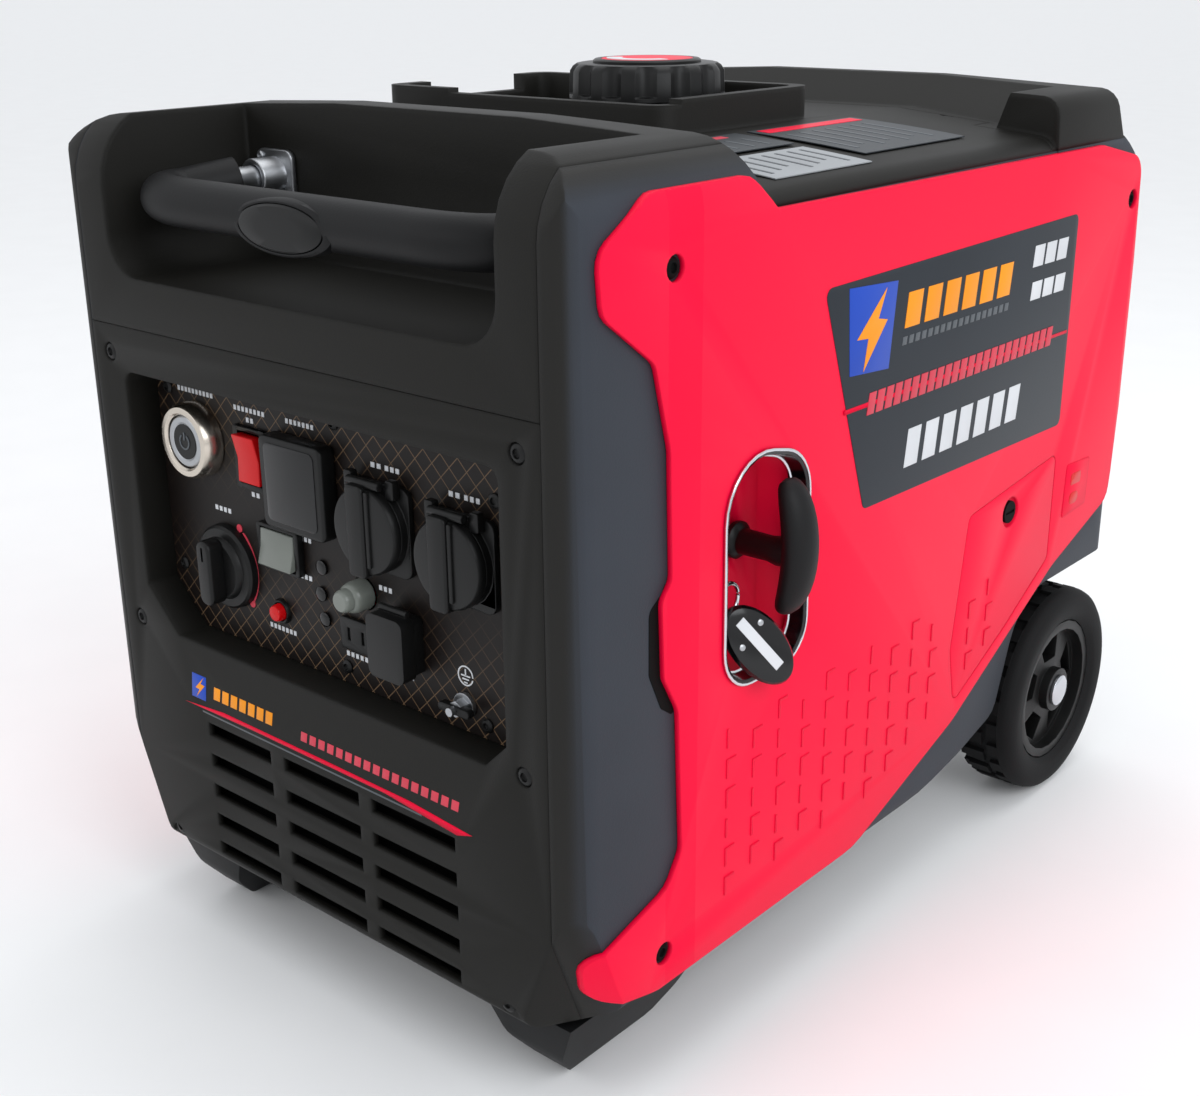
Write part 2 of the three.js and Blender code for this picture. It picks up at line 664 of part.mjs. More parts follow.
const KNOB = [-98, 262];
add("fuel_knob", discY(...KNOB, 27, FACE_Y - 6, front, 24, 26)
  .add(discY(...KNOB, 19, FACE_Y - 10, FACE_Y - 5, 24, 18))
  .add(blockOn(...KNOB, 11, 42, 21, 5, FACE_Y - 5)), "black");
add("reset_button", discY(...RESET, 5.5, FACE_Y - 7, front, 16, 4.8), "red");
[["oil", -9, 282], ["overload", -11, 265], ["output", -9, 249.5]].forEach(([name, x, z]) =>
  add(`${name}_light`, discY(x, z, 4.4, FACE_Y - 2.5, front, 16, 3.8), "black"));
add("breaker_cap", discY(...CAP_KEY, 9.5, FACE_Y - 12, front, 20, 8.5)
  .add(discY(...CAP_KEY, 7, FACE_Y - 19, FACE_Y - 11, 20, 6)), "smoke");
const slot = (x, z) => alongY(rectangle(x - 1.2, x + 1.2, z - 4, z + 4), -330, FACE_Y - 1);
add("small_outlet", blockOn(20, 247, 27, 20, 3, 2).subtract(slot(14, 247)).subtract(slot(26, 247)), "black");

const DC = [62, 256];
add("dc_outlet", blockOn(...DC, 26, 34, 8, 3).subtract(blockOn(...DC, 16, 24, 30, 1, FACE_Y - 2)), "black");
add("dc_cover", blockOn(...DC, 29, 38, 18, 5, FACE_Y - 8.4)
  .add(discX(FACE_Y - 9.5, DC[1] + 20.5, 2.2, DC[0] - 11, DC[0] + 11, 12)), "black");
add("ground_terminal", discY(107, 230, 7.5, FACE_Y - 3, front, 20)
  .add(discY(107, 230, 5, FACE_Y - 9, FACE_Y - 2, 6))
  .add(discY(107, 230, 2.6, FACE_Y - 14, FACE_Y - 8, 12)), "steel");

// Two round mains sockets, each a flanged cup under a sprung lid hinged at its top.
SOCKET_X.forEach((x, i) => {
  const side = ["first", "second"][i];
  const z = SOCKET_Z[i];
  const cup = blockOn(x, z, 52, 52, 4, 6)
    .add(discY(x, z, SOCKET_RADIUS, FACE_Y - 9, FACE_Y - 3, 24))
    .add(discY(x, z, SOCKET_RADIUS - 2, FACE_Y - 1, -282, 24))
    .subtract(discY(x, z, 19.6, -400, FACE_Y + 8, 24));
  add(`${side}_socket`, cup, "black");
  const lid = discY(x, z, 25.5, FACE_Y - 15, FACE_Y - 9.4, 24, 24.5)
    .add(alongY(rectangle(x - 11, x + 11, z - 27, z + 27, 3), FACE_Y - 17.5, FACE_Y - 9.4))
    .add(discX(FACE_Y - 12, z + 27.5, 2.6, x - 13, x + 13, 12));
  add(`${side}_socket_lid`, lid, "black");
});

// ---- Recoil starter -----------------------------------------------------------------------------------

const pocket = (by) => grown(pocketOutline, by).reverse();
const cup = alongX(pocket(3), CUP_FLOOR - 3, 204.6)
  .subtract(alongX(pocket(-0.6), CUP_FLOOR, 260))
  .subtract(discX(PULL_Y, PULL_Z, 7.6, 100, 260, 16));
const sideShellWindow = alongX(pocket(3.4), 150, 204.9);
add("recoil_pocket", cup.intersect(sideShellWindow.add(box(0, 204.9, -300, 0, 0, 500))), "red");
const bezelOuter = alongX(pocket(3), 208.8, 210.4);
const bezel = bezelOuter.add(alongX(pocket(0), 198, 209))
  .subtract(alongX(pocket(-2.4), 150, 260))
  .intersect(alongX(pocket(-0.4), 150, 209).add(alongX(pocket(3), 208.8, 260)));
add("recoil_bezel", bezel.subtract(alongX(pocket(3.4), 150, 204.9)
  .subtract(alongX(pocket(-1), 150, 204.9))), "chrome");

const gripProfile = [
  [208, 273, 6],
  [217, 264, 5],
  [228, 273, 10],
  [GRIP_OUT, 305, 60],
  [228, 342, 10],
  [217, 352, 5],
  [208, 343, 6],
];
const starterGrip = alongY(gripProfile, PULL_Y - 13, PULL_Y + 13)
  .add(discX(PULL_Y, PULL_Z, 6.5, 178, 214, 16, 9));
add("starter_grip", starterGrip, "black");
add("starter_rope", discX(PULL_Y, PULL_Z, ROPE_RADIUS, -150, 177.7, 8), "rubber");

// The key fob leans in the pocket's foot with its face turned outwards, forwards and a little up.
const fobNormal = new THREE.Vector3(0.88, -0.42, 0.22).normalize();
const fobLong = new THREE.Vector3(0.56, 0.42, -0.75);
fobLong.addScaledVector(fobNormal, -fobLong.dot(fobNormal)).normalize();
const fobShort = fobNormal.clone().cross(fobLong);
const fobOval = Array.from({ length: 20 }, (_, i) =>
  [FOB_LENGTH / 2 * Math.cos((i * Math.PI) / 10), FOB_WIDTH / 2 * Math.sin((i * Math.PI) / 10)]);
const fobCase = prism(fobOval, FOB_DEPTH, [fobLong, fobShort, fobNormal], FOB_BACK);
const keyRing = new THREE.TorusGeometry(9, 1.4, 6, 16).rotateY(Math.PI / 2).translate(...RING_CENTRE);
add("remote_fob", fobCase.add(solid(keyRing)), "black");

// ---- Fuel ------------------------------------------------------------------------------------------------

add("fuel_tank", alongZ(rectangle(-165, 165, -120, 225, 30), 385, 474)
  .add(discZ(CAP_X, CAP_Y, 38, 470, 520, 24))
  .subtract(discZ(CAP_X, CAP_Y, 31, 400, FAR, 24)), "tank");
add("fuel_cap_plug", discZ(CAP_X, CAP_Y, 30.5, 500, 524, 32), "black");
add("fuel_cap", discZ(CAP_X, CAP_Y, CAP_RADIUS, 524.4, 545, 32, CAP_RADIUS - 1)
  .add(discZ(CAP_X, CAP_Y, 46, 544, 548, 24, 42))
  .add(discZ(CAP_X, CAP_Y, 33, 547, CAP_TOP, 24)), "black");

// ---- Inside the case ------------------------------------------------------------------------------------

const crankcase = box(-75, 75, -58, 90, ENGINE_LOW + 0.4, 290)
  .add(box(-150, -60, -30, 62, 170, 290))
  .add(discY(0, SHAFT_Z, 14, -120, -50, 16));
const intake = box(70, 118, -20, 40, 232, 286);
add("engine", crankcase.add(intake), "metal");
add("alternator", discY(0, SHAFT_Z, 88, -134, -62, 24).subtract(discY(0, SHAFT_Z, 15, -200, 0, 16)), "steel");
add("recoil_starter", discY(0, SHAFT_Z, 66, -178, -140, 32), "black");
add("air_filter", box(118.4, 186, -30, 60, 240, 350), "black");
add("muffler", alongY([[-170, 215, 30], [40, 215, 30], [40, 350, 30], [-170, 350, 30]], 110, 262)
  .add(discY(EXHAUST_X, EXHAUST_Z, 20, 250, 296, 24)), "steel");
let inverter = box(-105, 105, -282, -210, 62, 190);
for (const x of [-84, -56, -28, 0, 28, 56, 84]) {
  inverter = inverter.subtract(box(x - 6, x + 6, -290, -258, 50, 200));
}
add("inverter_module", inverter, "metal");
add("battery", box(-178, -92, -255, -190, 200, 320), "black");

// The whole object's box is centred on the origin: the starter grip reaches past the wheels on one
// side, and the nose reaches further forward than the wheels reach back.
generator.position.x = -(GRIP_OUT - WHEEL_OUT - 1) / 2;
generator.position.y = -(FRONT_Y + WHEEL_Y + WHEEL_RADIUS) / 2;

export default generator;
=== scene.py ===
"""Looks of a portable inverter generator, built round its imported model.

Drawing units are millimetres from the middle plane of the case, as at() reads them: +X is the
recoil starter side, -Y the control panel, +Z up. Blender itself works in metres.
"""
import json
import math

import bmesh
import bpy
from mathutils import Matrix, Vector


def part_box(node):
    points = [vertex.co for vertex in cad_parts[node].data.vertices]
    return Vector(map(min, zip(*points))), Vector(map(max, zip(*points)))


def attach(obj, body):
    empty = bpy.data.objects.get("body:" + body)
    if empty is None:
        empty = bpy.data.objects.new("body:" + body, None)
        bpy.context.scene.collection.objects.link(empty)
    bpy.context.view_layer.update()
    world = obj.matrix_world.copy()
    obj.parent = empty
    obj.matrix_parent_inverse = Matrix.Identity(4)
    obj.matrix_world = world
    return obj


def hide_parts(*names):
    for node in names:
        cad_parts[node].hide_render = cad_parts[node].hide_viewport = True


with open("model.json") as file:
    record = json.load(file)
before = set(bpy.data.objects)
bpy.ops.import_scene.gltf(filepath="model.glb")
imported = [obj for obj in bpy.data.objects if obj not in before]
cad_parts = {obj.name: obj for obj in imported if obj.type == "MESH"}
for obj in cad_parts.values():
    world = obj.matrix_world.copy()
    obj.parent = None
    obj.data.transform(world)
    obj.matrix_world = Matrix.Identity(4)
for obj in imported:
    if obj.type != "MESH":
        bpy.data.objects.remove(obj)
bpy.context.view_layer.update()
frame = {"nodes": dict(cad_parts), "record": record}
NODES = frame["nodes"]

MM = 0.001
PANEL_FRONT = -298
PANEL_LOW, PANEL_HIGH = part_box("control_panel")
MIDDLE = Vector(((PANEL_LOW[0] + PANEL_HIGH[0]) / 2, PANEL_LOW[1] - PANEL_FRONT * MM, 0))


def edge_of(node, corner, axis):
    """One coordinate of a node's box, in drawing millimetres."""
    return (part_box(node)[corner][axis] - MIDDLE[axis]) / MM


def middle_of(node, axis):
    """The middle of a node's box along an axis, in drawing millimetres."""
    return (edge_of(node, 0, axis) + edge_of(node, 1, axis)) / 2


FRONT = edge_of("front_fascia", 0, 1)
PANEL = edge_of("control_panel", 0, 1)
SIDE = edge_of("right_side_cover", 1, 0)
CASE_SIDE = edge_of("right_side_shell", 1, 0)
WHEEL_OUT = edge_of("right_tyre", 1, 0)
WHEEL_IN = edge_of("right_tyre", 0, 0)
WHEEL_RADIUS = (edge_of("right_tyre", 1, 2) - edge_of("right_tyre", 0, 2)) / 2
WHEEL_Y = middle_of("right_tyre", 1)
WHEEL_Z = WHEEL_RADIUS
CAP_X = middle_of("fuel_cap", 0)
CAP_Y = middle_of("fuel_cap", 1)
CAP_LOW = edge_of("fuel_cap", 0, 2)
CAP_TOP = edge_of("fuel_cap", 1, 2)
# The top cover's highest line, and the radius of its crown.
COVER_PEAK = 513
COVER_CROWN = 1500
SIDES = ((1, "right"), (-1, "left"))


def at(x, y, z):
    """A point in metres from drawing millimetres."""
    return Vector((x, y, z)) * MM + MIDDLE


def cover_height(x):
    """Height of the top cover's crowned surface."""
    return COVER_PEAK - x * x / (2 * COVER_CROWN)


# ---- Camera and light ------------------------------------------------------------------------

CAMERA_PLACE = (688, -852, 613)
CAMERA_LENS = 48.39
CAMERA_SENSOR = 36
# The camera's right, up and backward directions.
CAMERA_FRAME = ((0.7556, 0.6550, -0.0089), (-0.2189, 0.2654, 0.9390), (0.6174, -0.7075, 0.3439))


def add_camera():
    data = bpy.data.cameras.new("camera")
    data.sensor_width = CAMERA_SENSOR
    data.lens = CAMERA_LENS
    camera = bpy.data.objects.new("camera", data)
    bpy.context.scene.collection.objects.link(camera)
    turn = Matrix(CAMERA_FRAME).transposed().to_4x4()
    camera.matrix_world = Matrix.Translation(at(*CAMERA_PLACE)) @ turn
    bpy.context.scene.camera = camera


def add_light(name, place, target, size, power, colour=(1, 1, 1)):
    data = bpy.data.lights.new(name, "AREA")
    data.shape = "RECTANGLE"
    data.size, data.size_y = size
    data.energy = power
    data.color = colour
    light = bpy.data.objects.new(name, data)
    light.location = place
    light.rotation_euler = (Vector(target) - Vector(place)).to_track_quat("-Z", "Y").to_euler()
    bpy.context.scene.collection.objects.link(light)


add_camera()
world = bpy.data.worlds.new("studio")
world.use_nodes = True
world.node_tree.nodes["Background"].inputs["Color"].default_value = (0.95, 0.97, 1.0, 1)
world.node_tree.nodes["Background"].inputs["Strength"].default_value = 1.0
bpy.context.scene.world = world
bpy.context.scene.view_settings.view_transform = "Standard"
add_light("key", (2.2, -0.6, 1.7), (0, 0, 0.25), (1.6, 1.6), 26, (0.94, 0.97, 1.0))
add_light("front", (-0.9, -2.4, 1.5), (0, -0.1, 0.3), (1.4, 1.2), 4)
add_light("top", (0.1, 0.5, 2.6), (0, 0, 0.4), (1.8, 1.8), 14)


# ---- Materials -------------------------------------------------------------------------------

def linear(red, green, blue):
    """A colour given in 0 to 255 display values, as linear light."""
    return tuple((v / 12.92 if v <= 0.04045 else ((v + 0.055) / 1.055) ** 2.4)
                 for v in (red / 255, green / 255, blue / 255)) + (1,)


DRIFT_SCALE = 9
GLOSS_SPREAD = 0.06
PEBBLE_DEPTH = 0.3


def moulded(name, colour, roughness, grain=0.12, grain_size=0.9, variation=0.12, metallic=0.0,
            specular=0.2, edge=0.6):
    """Moulded plastic, rubber or metal: a fine pebble, uneven gloss, soft edges of a radius in
    millimetres, and slight colour drift."""
    material = bpy.data.materials.new(name)
    material.use_nodes = True
    nodes = material.node_tree.nodes
    links = material.node_tree.links
    shader = nodes["Principled BSDF"]
    shader.inputs["Metallic"].default_value = metallic
    shader.inputs["Specular IOR Level"].default_value = specular
    coordinates = nodes.new("ShaderNodeTexCoord")

    drift = nodes.new("ShaderNodeTexNoise")
    drift.inputs["Scale"].default_value = DRIFT_SCALE
    drift.inputs["Detail"].default_value = 5
    links.new(coordinates.outputs["Object"], drift.inputs["Vector"])
    ramp = nodes.new("ShaderNodeValToRGB")
    ramp.color_ramp.elements[0].position = 0.3
    ramp.color_ramp.elements[1].position = 0.7
    ramp.color_ramp.elements[0].color = tuple(v * (1 - variation) for v in colour[:3]) + (1,)
    ramp.color_ramp.elements[1].color = tuple(v * (1 + variation) for v in colour[:3]) + (1,)
    links.new(drift.outputs["Fac"], ramp.inputs["Fac"])
    links.new(ramp.outputs["Color"], shader.inputs["Base Color"])

    gloss = nodes.new("ShaderNodeMapRange")
    gloss.inputs["To Min"].default_value = roughness - GLOSS_SPREAD
    gloss.inputs["To Max"].default_value = roughness + GLOSS_SPREAD
    links.new(drift.outputs["Fac"], gloss.inputs["Value"])
    links.new(gloss.outputs["Result"], shader.inputs["Roughness"])

    pebble = nodes.new("ShaderNodeTexNoise")
    pebble.inputs["Scale"].default_value = 1 / (grain_size * MM)
    pebble.inputs["Detail"].default_value = 2
    links.new(coordinates.outputs["Object"], pebble.inputs["Vector"])
    bump = nodes.new("ShaderNodeBump")
    bump.inputs["Strength"].default_value = grain
    bump.inputs["Distance"].default_value = PEBBLE_DEPTH * MM
    links.new(pebble.outputs["Fac"], bump.inputs["Height"])
    soft = nodes.new("ShaderNodeBevel")
    soft.samples = 4
    soft.inputs["Radius"].default_value = edge * MM
    links.new(soft.outputs["Normal"], bump.inputs["Normal"])
    links.new(bump.outputs["Normal"], shader.inputs["Normal"])
    return material


LATTICE_PITCH = 6.5
LATTICE_LINE = 0.4
LATTICE_GOLD = linear(140, 112, 84)


def panel_print():
    """A dark printed plate with a thin gold diamond lattice that fades towards its middle."""
    material = moulded("panel_print", linear(19, 14, 12), 0.45, grain=0.05)
    nodes = material.node_tree.nodes
    links = material.node_tree.links
    coordinates = nodes.new("ShaderNodeTexCoord")
    split = nodes.new("ShaderNodeSeparateXYZ")
    links.new(coordinates.outputs["Object"], split.inputs["Vector"])

    def math_node(operation, first, second=None, third=None):
        node = nodes.new("ShaderNodeMath")
        node.operation = operation
        for slot, value in enumerate((first, second, third)):
            if value is None:
                continue
            if isinstance(value, (int, float)):
                node.inputs[slot].default_value = value
            else:
                links.new(value, node.inputs[slot])
        return node.outputs["Value"]

    lines = None
    for slope in (1.0, -1.0):
        tilted = math_node("MULTIPLY_ADD", split.outputs["X"], slope, split.outputs["Z"])
        wave = math_node("PINGPONG", tilted, LATTICE_PITCH * MM)
        thin = math_node("LESS_THAN", wave, LATTICE_LINE * MM)
        lines = thin if lines is None else math_node("MAXIMUM", lines, thin)
    low, high = (edge_of("control_panel", corner, 2) * MM for corner in (0, 1))
    half = (high - low) / 2
    off_centre = math_node("ABSOLUTE", math_node("SUBTRACT", split.outputs["Z"], (low + high) / 2))
    fade = math_node("SMOOTH_MIN", math_node("DIVIDE", off_centre, half), 1.0, 0.1)
    strength = math_node("MULTIPLY", lines, math_node("POWER", fade, 1.6))
    mixer = nodes.new("ShaderNodeMix")
    mixer.data_type = "RGBA"
    base = nodes["Principled BSDF"].inputs["Base Color"].links[0].from_socket
    links.new(math_node("MULTIPLY", strength, 0.6), mixer.inputs["Factor"])
    links.new(base, mixer.inputs["A"])
    mixer.inputs["B"].default_value = LATTICE_GOLD
    links.new(mixer.outputs["Result"], nodes["Principled BSDF"].inputs["Base Color"])
    return material


# How far a face's normal lies along X where its colour starts and ends its turn between painted shade and
# painted side light.
TURN_START = 0.55
TURN_END = 0.97


def painted_side_light(material, colour):
    """Turns a material towards another colour where a face looks up, down, forwards or back: painted light
    and shade, a painted side light on faces turned along X and a painted shade on the others.
    """
    nodes = material.node_tree.nodes
    links = material.node_tree.links
    facing = nodes.new("ShaderNodeNewGeometry")
    split = nodes.new("ShaderNodeSeparateXYZ")
    links.new(facing.outputs["Normal"], split.inputs["Vector"])
    sideways = nodes.new("ShaderNodeMath")
    sideways.operation = "ABSOLUTE"
    links.new(split.outputs["X"], sideways.inputs[0])
    amount = nodes.new("ShaderNodeMapRange")
    amount.interpolation_type = "SMOOTHSTEP"
    amount.inputs["From Min"].default_value = TURN_START
    amount.inputs["From Max"].default_value = TURN_END
    links.new(sideways.outputs["Value"], amount.inputs["Value"])
    mixer = nodes.new("ShaderNodeMix")
    mixer.data_type = "RGBA"
    shader = nodes["Principled BSDF"]
    links.new(amount.outputs["Result"], mixer.inputs["Factor"])
    mixer.inputs["A"].default_value = colour
    links.new(shader.inputs["Base Color"].links[0].from_socket, mixer.inputs["B"])
    links.new(mixer.outputs["Result"], shader.inputs["Base Color"])
    return material


def sloped_border(material, outer, inner, rise):
    """Tilts the shading of a band across Y, from outer to inner, as if it rose by a height."""
    nodes = material.node_tree.nodes
    links = material.node_tree.links
    coordinates = nodes.new("ShaderNodeTexCoord")
    split = nodes.new("ShaderNodeSeparateXYZ")
    links.new(coordinates.outputs["Object"], split.inputs["Vector"])
    ramp = nodes.new("ShaderNodeMapRange")
    ramp.inputs["From Min"].default_value = outer * MM + MIDDLE.y
    ramp.inputs["From Max"].default_value = inner * MM + MIDDLE.y
    links.new(split.outputs["Y"], ramp.inputs["Value"])
    slope = nodes.new("ShaderNodeBump")
    slope.inputs["Distance"].default_value = rise * MM
    links.new(ramp.outputs["Result"], slope.inputs["Height"])
    shader = nodes["Principled BSDF"]
    links.new(shader.inputs["Normal"].links[0].from_socket, slope.inputs["Normal"])
    links.new(slope.outputs["Normal"], shader.inputs["Normal"])
    return material


SHELL = moulded("shell_plastic", linear(19, 18, 15), 0.56, grain=0.3, grain_size=1.1, edge=4)
# Painted light and shade: the bluish colour is painted side light on faces turned along X, and the dark
# neutral one is painted shade on the other faces.
SIDE_SHELL = painted_side_light(
    moulded("side_plastic_painted_light", linear(46, 50, 57), 0.52, grain=0.3, grain_size=1.1, edge=3), linear(26, 25, 23))
COVER_RED = sloped_border(
    moulded("cover_plastic", linear(232, 3, 54), 0.42, grain=0.06, variation=0.04, specular=0.12, edge=2),
    -250, -223, 5)
RED = moulded("red_plastic", linear(232, 3, 54), 0.42, grain=0.06, variation=0.04, specular=0.12, edge=2)
RED_DEEP = moulded("red_key_plastic", linear(205, 10, 16), 0.28, grain=0.04)
BLACK = moulded("black_plastic", linear(14, 14, 14), 0.4, grain=0.12, specular=0.25)
GLOSS = moulded("gloss_black_plastic", linear(7, 7, 9), 0.14, grain=0.02, specular=0.4)
# Near-black: the colour of the cover and door screws, and painted shade on the vent baffle, the vent ledges
# and the finger slots.
BLACK_AND_SHADE = moulded("black_and_painted_shade", linear(5, 5, 5), 0.7, specular=0.1)
SMOKE = moulded("smoke_plastic", linear(112, 116, 110), 0.22, grain=0.04, specular=0.4)
RUBBER = moulded("black_rubber", linear(14, 14, 15), 0.5, grain=0.25, grain_size=1.4)
TYRE = moulded("tyre_rubber", linear(13, 13, 14), 0.7, grain=0.4, grain_size=1.6)
CHROME = moulded("chrome", linear(205, 207, 212), 0.12, grain=0.02, variation=0.03, metallic=1)
STEEL = moulded("steel", linear(170, 172, 175), 0.34, grain=0.08, metallic=1)
CHAMPAGNE = moulded("champagne_metal", linear(205, 196, 184), 0.24, grain=0.03, metallic=1)
ALLOY = moulded("cast_alloy", linear(160, 163, 166), 0.55, grain=0.4, metallic=0.9)
TANK = moulded("coated_steel", linear(52, 56, 62), 0.4, grain=0.15, metallic=0.3)
LABEL = moulded("slate_label", linear(38, 43, 49), 0.4, grain=0.03)
GREY_LABEL = moulded("grey_label", linear(84, 88, 92), 0.45, grain=0.03)
SLATE_LABEL = moulded("slate_sticker", linear(52, 56, 60), 0.45, grain=0.03)
ASH_LABEL = moulded("ash_sticker", linear(150, 153, 156), 0.5, grain=0.03)
PALE = moulded("pale_print", linear(205, 207, 210), 0.5, grain=0.03)
ORANGE = moulded("orange_print", linear(232, 142, 20), 0.45, grain=0.03)
BLUE = moulded("blue_print", linear(28, 68, 170), 0.4, grain=0.03)
PINK = moulded("rose_print", linear(200, 62, 78), 0.45, grain=0.03)
PRINT = panel_print()


# ---- Mesh helpers ----------------------------------------------------------------------------

# Where a flat outline's two coordinates, and the one along the axis, go in x, y, z.
AXES = {"x": (1, 2, 0), "y": (0, 2, 1), "z": (0, 1, 2)}
SMOOTH_ANGLE = 38
WELD_GAP = 1e-6
NODE_WELD_GAP = 2e-5
FLAT_ANGLE = 1.2


def spread(axis, first, second, along):
    """Puts a flat outline's two coordinates, and the one along the axis, in x, y, z order."""
    point = [0, 0, 0]
    for place, value in zip(AXES[axis], (first, second, along)):
        point[place] = value
    return at(*point)


def finished(name, mesh, material, body, bevel=0.0, segments=2, angle=30):
    """Makes the object, rounds its sharp edges, and lets it ride on its body."""
    piece = bpy.data.objects.new(name, mesh)
    bpy.context.scene.collection.objects.link(piece)
    mesh.materials.clear()
    mesh.materials.append(material)
    if bevel:
        modifier = piece.modifiers.new("rounding", "BEVEL")
        modifier.width = bevel * MM
        modifier.segments = segments
        modifier.limit_method = "ANGLE"
        modifier.angle_limit = math.radians(angle)
        modifier.use_clamp_overlap = True
        modifier.harden_normals = False
        bpy.context.view_layer.update()
        graph = bpy.context.evaluated_depsgraph_get()
        piece.data = bpy.data.meshes.new_from_object(piece.evaluated_get(graph))
        piece.modifiers.clear()
    piece.data.shade_smooth()
    piece.data.set_sharp_from_angle(angle=math.radians(SMOOTH_ANGLE))
    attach(piece, body)
    return piece


def from_bmesh(name, made):
    """Turns a mesh in the making into a finished mesh that faces outwards."""
    bmesh.ops.remove_doubles(made, verts=made.verts, dist=WELD_GAP)
    bmesh.ops.recalc_face_normals(made, faces=made.faces)
    mesh = bpy.data.meshes.new(name)
    made.to_mesh(mesh)
    made.free()
    return mesh


def add_prism(made, outline, low, high, axis):
    """Adds an upright prism over a flat outline to a mesh in the making."""
    bottom = [made.verts.new(spread(axis, a, b, low)) for a, b in outline]
    top = [made.verts.new(spread(axis, a, b, high)) for a, b in outline]
    made.faces.new(bottom)
    made.faces.new(top)
    for i in range(len(outline)):
        j = (i + 1) % len(outline)
        made.faces.new((bottom[i], bottom[j], top[j], top[i]))


def prisms(name, outlines, low, high, axis, material, body, bevel=0.3, segments=2):
    """One piece of one or more prisms that share their two heights."""
    made = bmesh.new()
    for outline in outlines:
        add_prism(made, outline, low, high, axis)
    return finished(name, from_bmesh(name, made), material, body, bevel, segments)


def add_turned(made, profile, centre, axis, segments, oval=(1, 1)):
    """Adds a turned solid; profile is [radius, height], from the axis and back to it."""
    rings = []
    for radius, height in profile:
        ring = []
        if radius == 0:
            ring.append(made.verts.new(spread(axis, centre[0], centre[1], height)))
        else:
            for k in range(segments):
                angle = 2 * math.pi * k / segments
                ring.append(made.verts.new(spread(
                    axis, centre[0] + oval[0] * radius * math.cos(angle),
                    centre[1] + oval[1] * radius * math.sin(angle), height)))
        rings.append(ring)
    for lower, upper in zip(rings, rings[1:]):
        for k in range(segments):
            n = (k + 1) % segments
            if len(lower) == 1:
                made.faces.new((lower[0], upper[n], upper[k]))
            elif len(upper) == 1:
                made.faces.new((lower[k], lower[n], upper[0]))
            else:
                made.faces.new((lower[k], lower[n], upper[n], upper[k]))


def turned(name, profile, centre, axis, material, body, segments=48, oval=(1, 1), bevel=0.0):
    """One piece turned round an axis."""
    made = bmesh.new()
    add_turned(made, profile, centre, axis, segments, oval)
    return finished(name, from_bmesh(name, made), material, body, bevel)


def lofted(name, rings, material, body, looped=False):
    """A skin through rings of points, which ends in two caps or runs back to its first ring."""
    made = bmesh.new()
    rows = [[made.verts.new(point) for point in ring] for ring in rings]
    pairs = list(zip(rows, rows[1:]))
    if looped:
        pairs.append((rows[-1], rows[0]))
    for lower, upper in pairs:
        for k in range(len(lower)):
            n = (k + 1) % len(lower)
            made.faces.new((lower[k], lower[n], upper[n], upper[k]))
    if not looped:
        made.faces.new(rows[0])
        made.faces.new(rows[-1])
    return finished(name, from_bmesh(name, made), material, body)


def swept(name, places, radius, material, body, sides=24, closed=False):
    """A round tube through places."""
    count = len(places)
    rings = []
    for i, place in enumerate(places):
        before = places[(i - 1) % count] if closed or i else places[0]
        after = places[(i + 1) % count] if closed or i < count - 1 else places[-1]
        tangent = (after - before).normalized()
        side = tangent.cross(Vector((0, 0, 1)))
        side = side.normalized() if side.length > 0.05 else Vector((1, 0, 0))
        up = side.cross(tangent).normalized()
        ring = []
        for k in range(sides):
            angle = 2 * math.pi * k / sides
            offset = side * (math.cos(angle) * radius) + up * (math.sin(angle) * radius)
            ring.append(at(*(place + offset)))
        rings.append(ring)
    return lofted(name, rings, material, body, closed)


def refined(node, material, bevel=1.0, segments=2, angle=30):
    """A piece with a CAD node's shape and rounded edges, which stands for the node."""
    made = bmesh.new()
    made.from_mesh(NODES[node].data)
    bmesh.ops.remove_doubles(made, verts=made.verts, dist=NODE_WELD_GAP)
    if bevel:
        bmesh.ops.dissolve_limit(made, angle_limit=math.radians(FLAT_ANGLE), verts=made.verts,
                                 edges=made.edges)
    mesh = bpy.data.meshes.new(node + "_look")
    made.to_mesh(mesh)
    made.free()
    body = next(b for b, names in frame["record"]["behaviour"]["bodies"].items() if node in names)
    piece = finished(node + "_look", mesh, material, body, bevel, segments, angle)
    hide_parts(node)
    return piece


def painted(node, material):
    """Gives a CAD node that keeps its shape its finished material."""
    data = NODES[node].data
    data.materials.clear()
    data.materials.append(material)


CORNER_POINTS = 6


def slab(a0, a1, b0, b1, radius=0.0, slant=0.0):
    """A rectangle's outline with rounded corners; slant leans its top sideways."""
    outline = []
    steps = CORNER_POINTS if radius else 1
    for ca, cb, start in ((a1 - radius, b0 + radius, -90), (a1 - radius, b1 - radius, 0),
                          (a0 + radius, b1 - radius, 90), (a0 + radius, b0 + radius, 180)):
        for k in range(steps):
            angle = math.radians(start + 90 * k / max(1, steps - 1))
            a = ca + radius * math.cos(angle)
            b = cb + radius * math.sin(angle)
            outline.append((a + slant * (b - b0), b))
    return outline


def rounded(corners, steps=8):
    """An outline whose corners (a, b, radius) are rounded by arcs."""
    outline = []
    count = len(corners)
    for i, (a, b, radius) in enumerate(corners):
        here = Vector((a, b))
        back = (Vector(corners[i - 1][:2]) - here).normalized()
        on = (Vector(corners[(i + 1) % count][:2]) - here).normalized()
        half = back.angle(on) / 2
        centre = here + (back + on).normalized() * radius / math.sin(half)
        start = here + back * radius / math.tan(half) - centre
        end = here + on * radius / math.tan(half) - centre
        for k in range(steps + 1):
            outline.append(tuple(centre + start.slerp(end, k / steps) * radius))
    return outline


def grown(corners, by):
    """Corners moved outwards from their middle, with radii to match."""
    middle = [sum(corner[i] for corner in corners) / len(corners) for i in (0, 1)]
    return [(a + by * math.copysign(1, a - middle[0]), b + by * math.copysign(1, b - middle[1]), radius + by)
            for a, b, radius in corners]


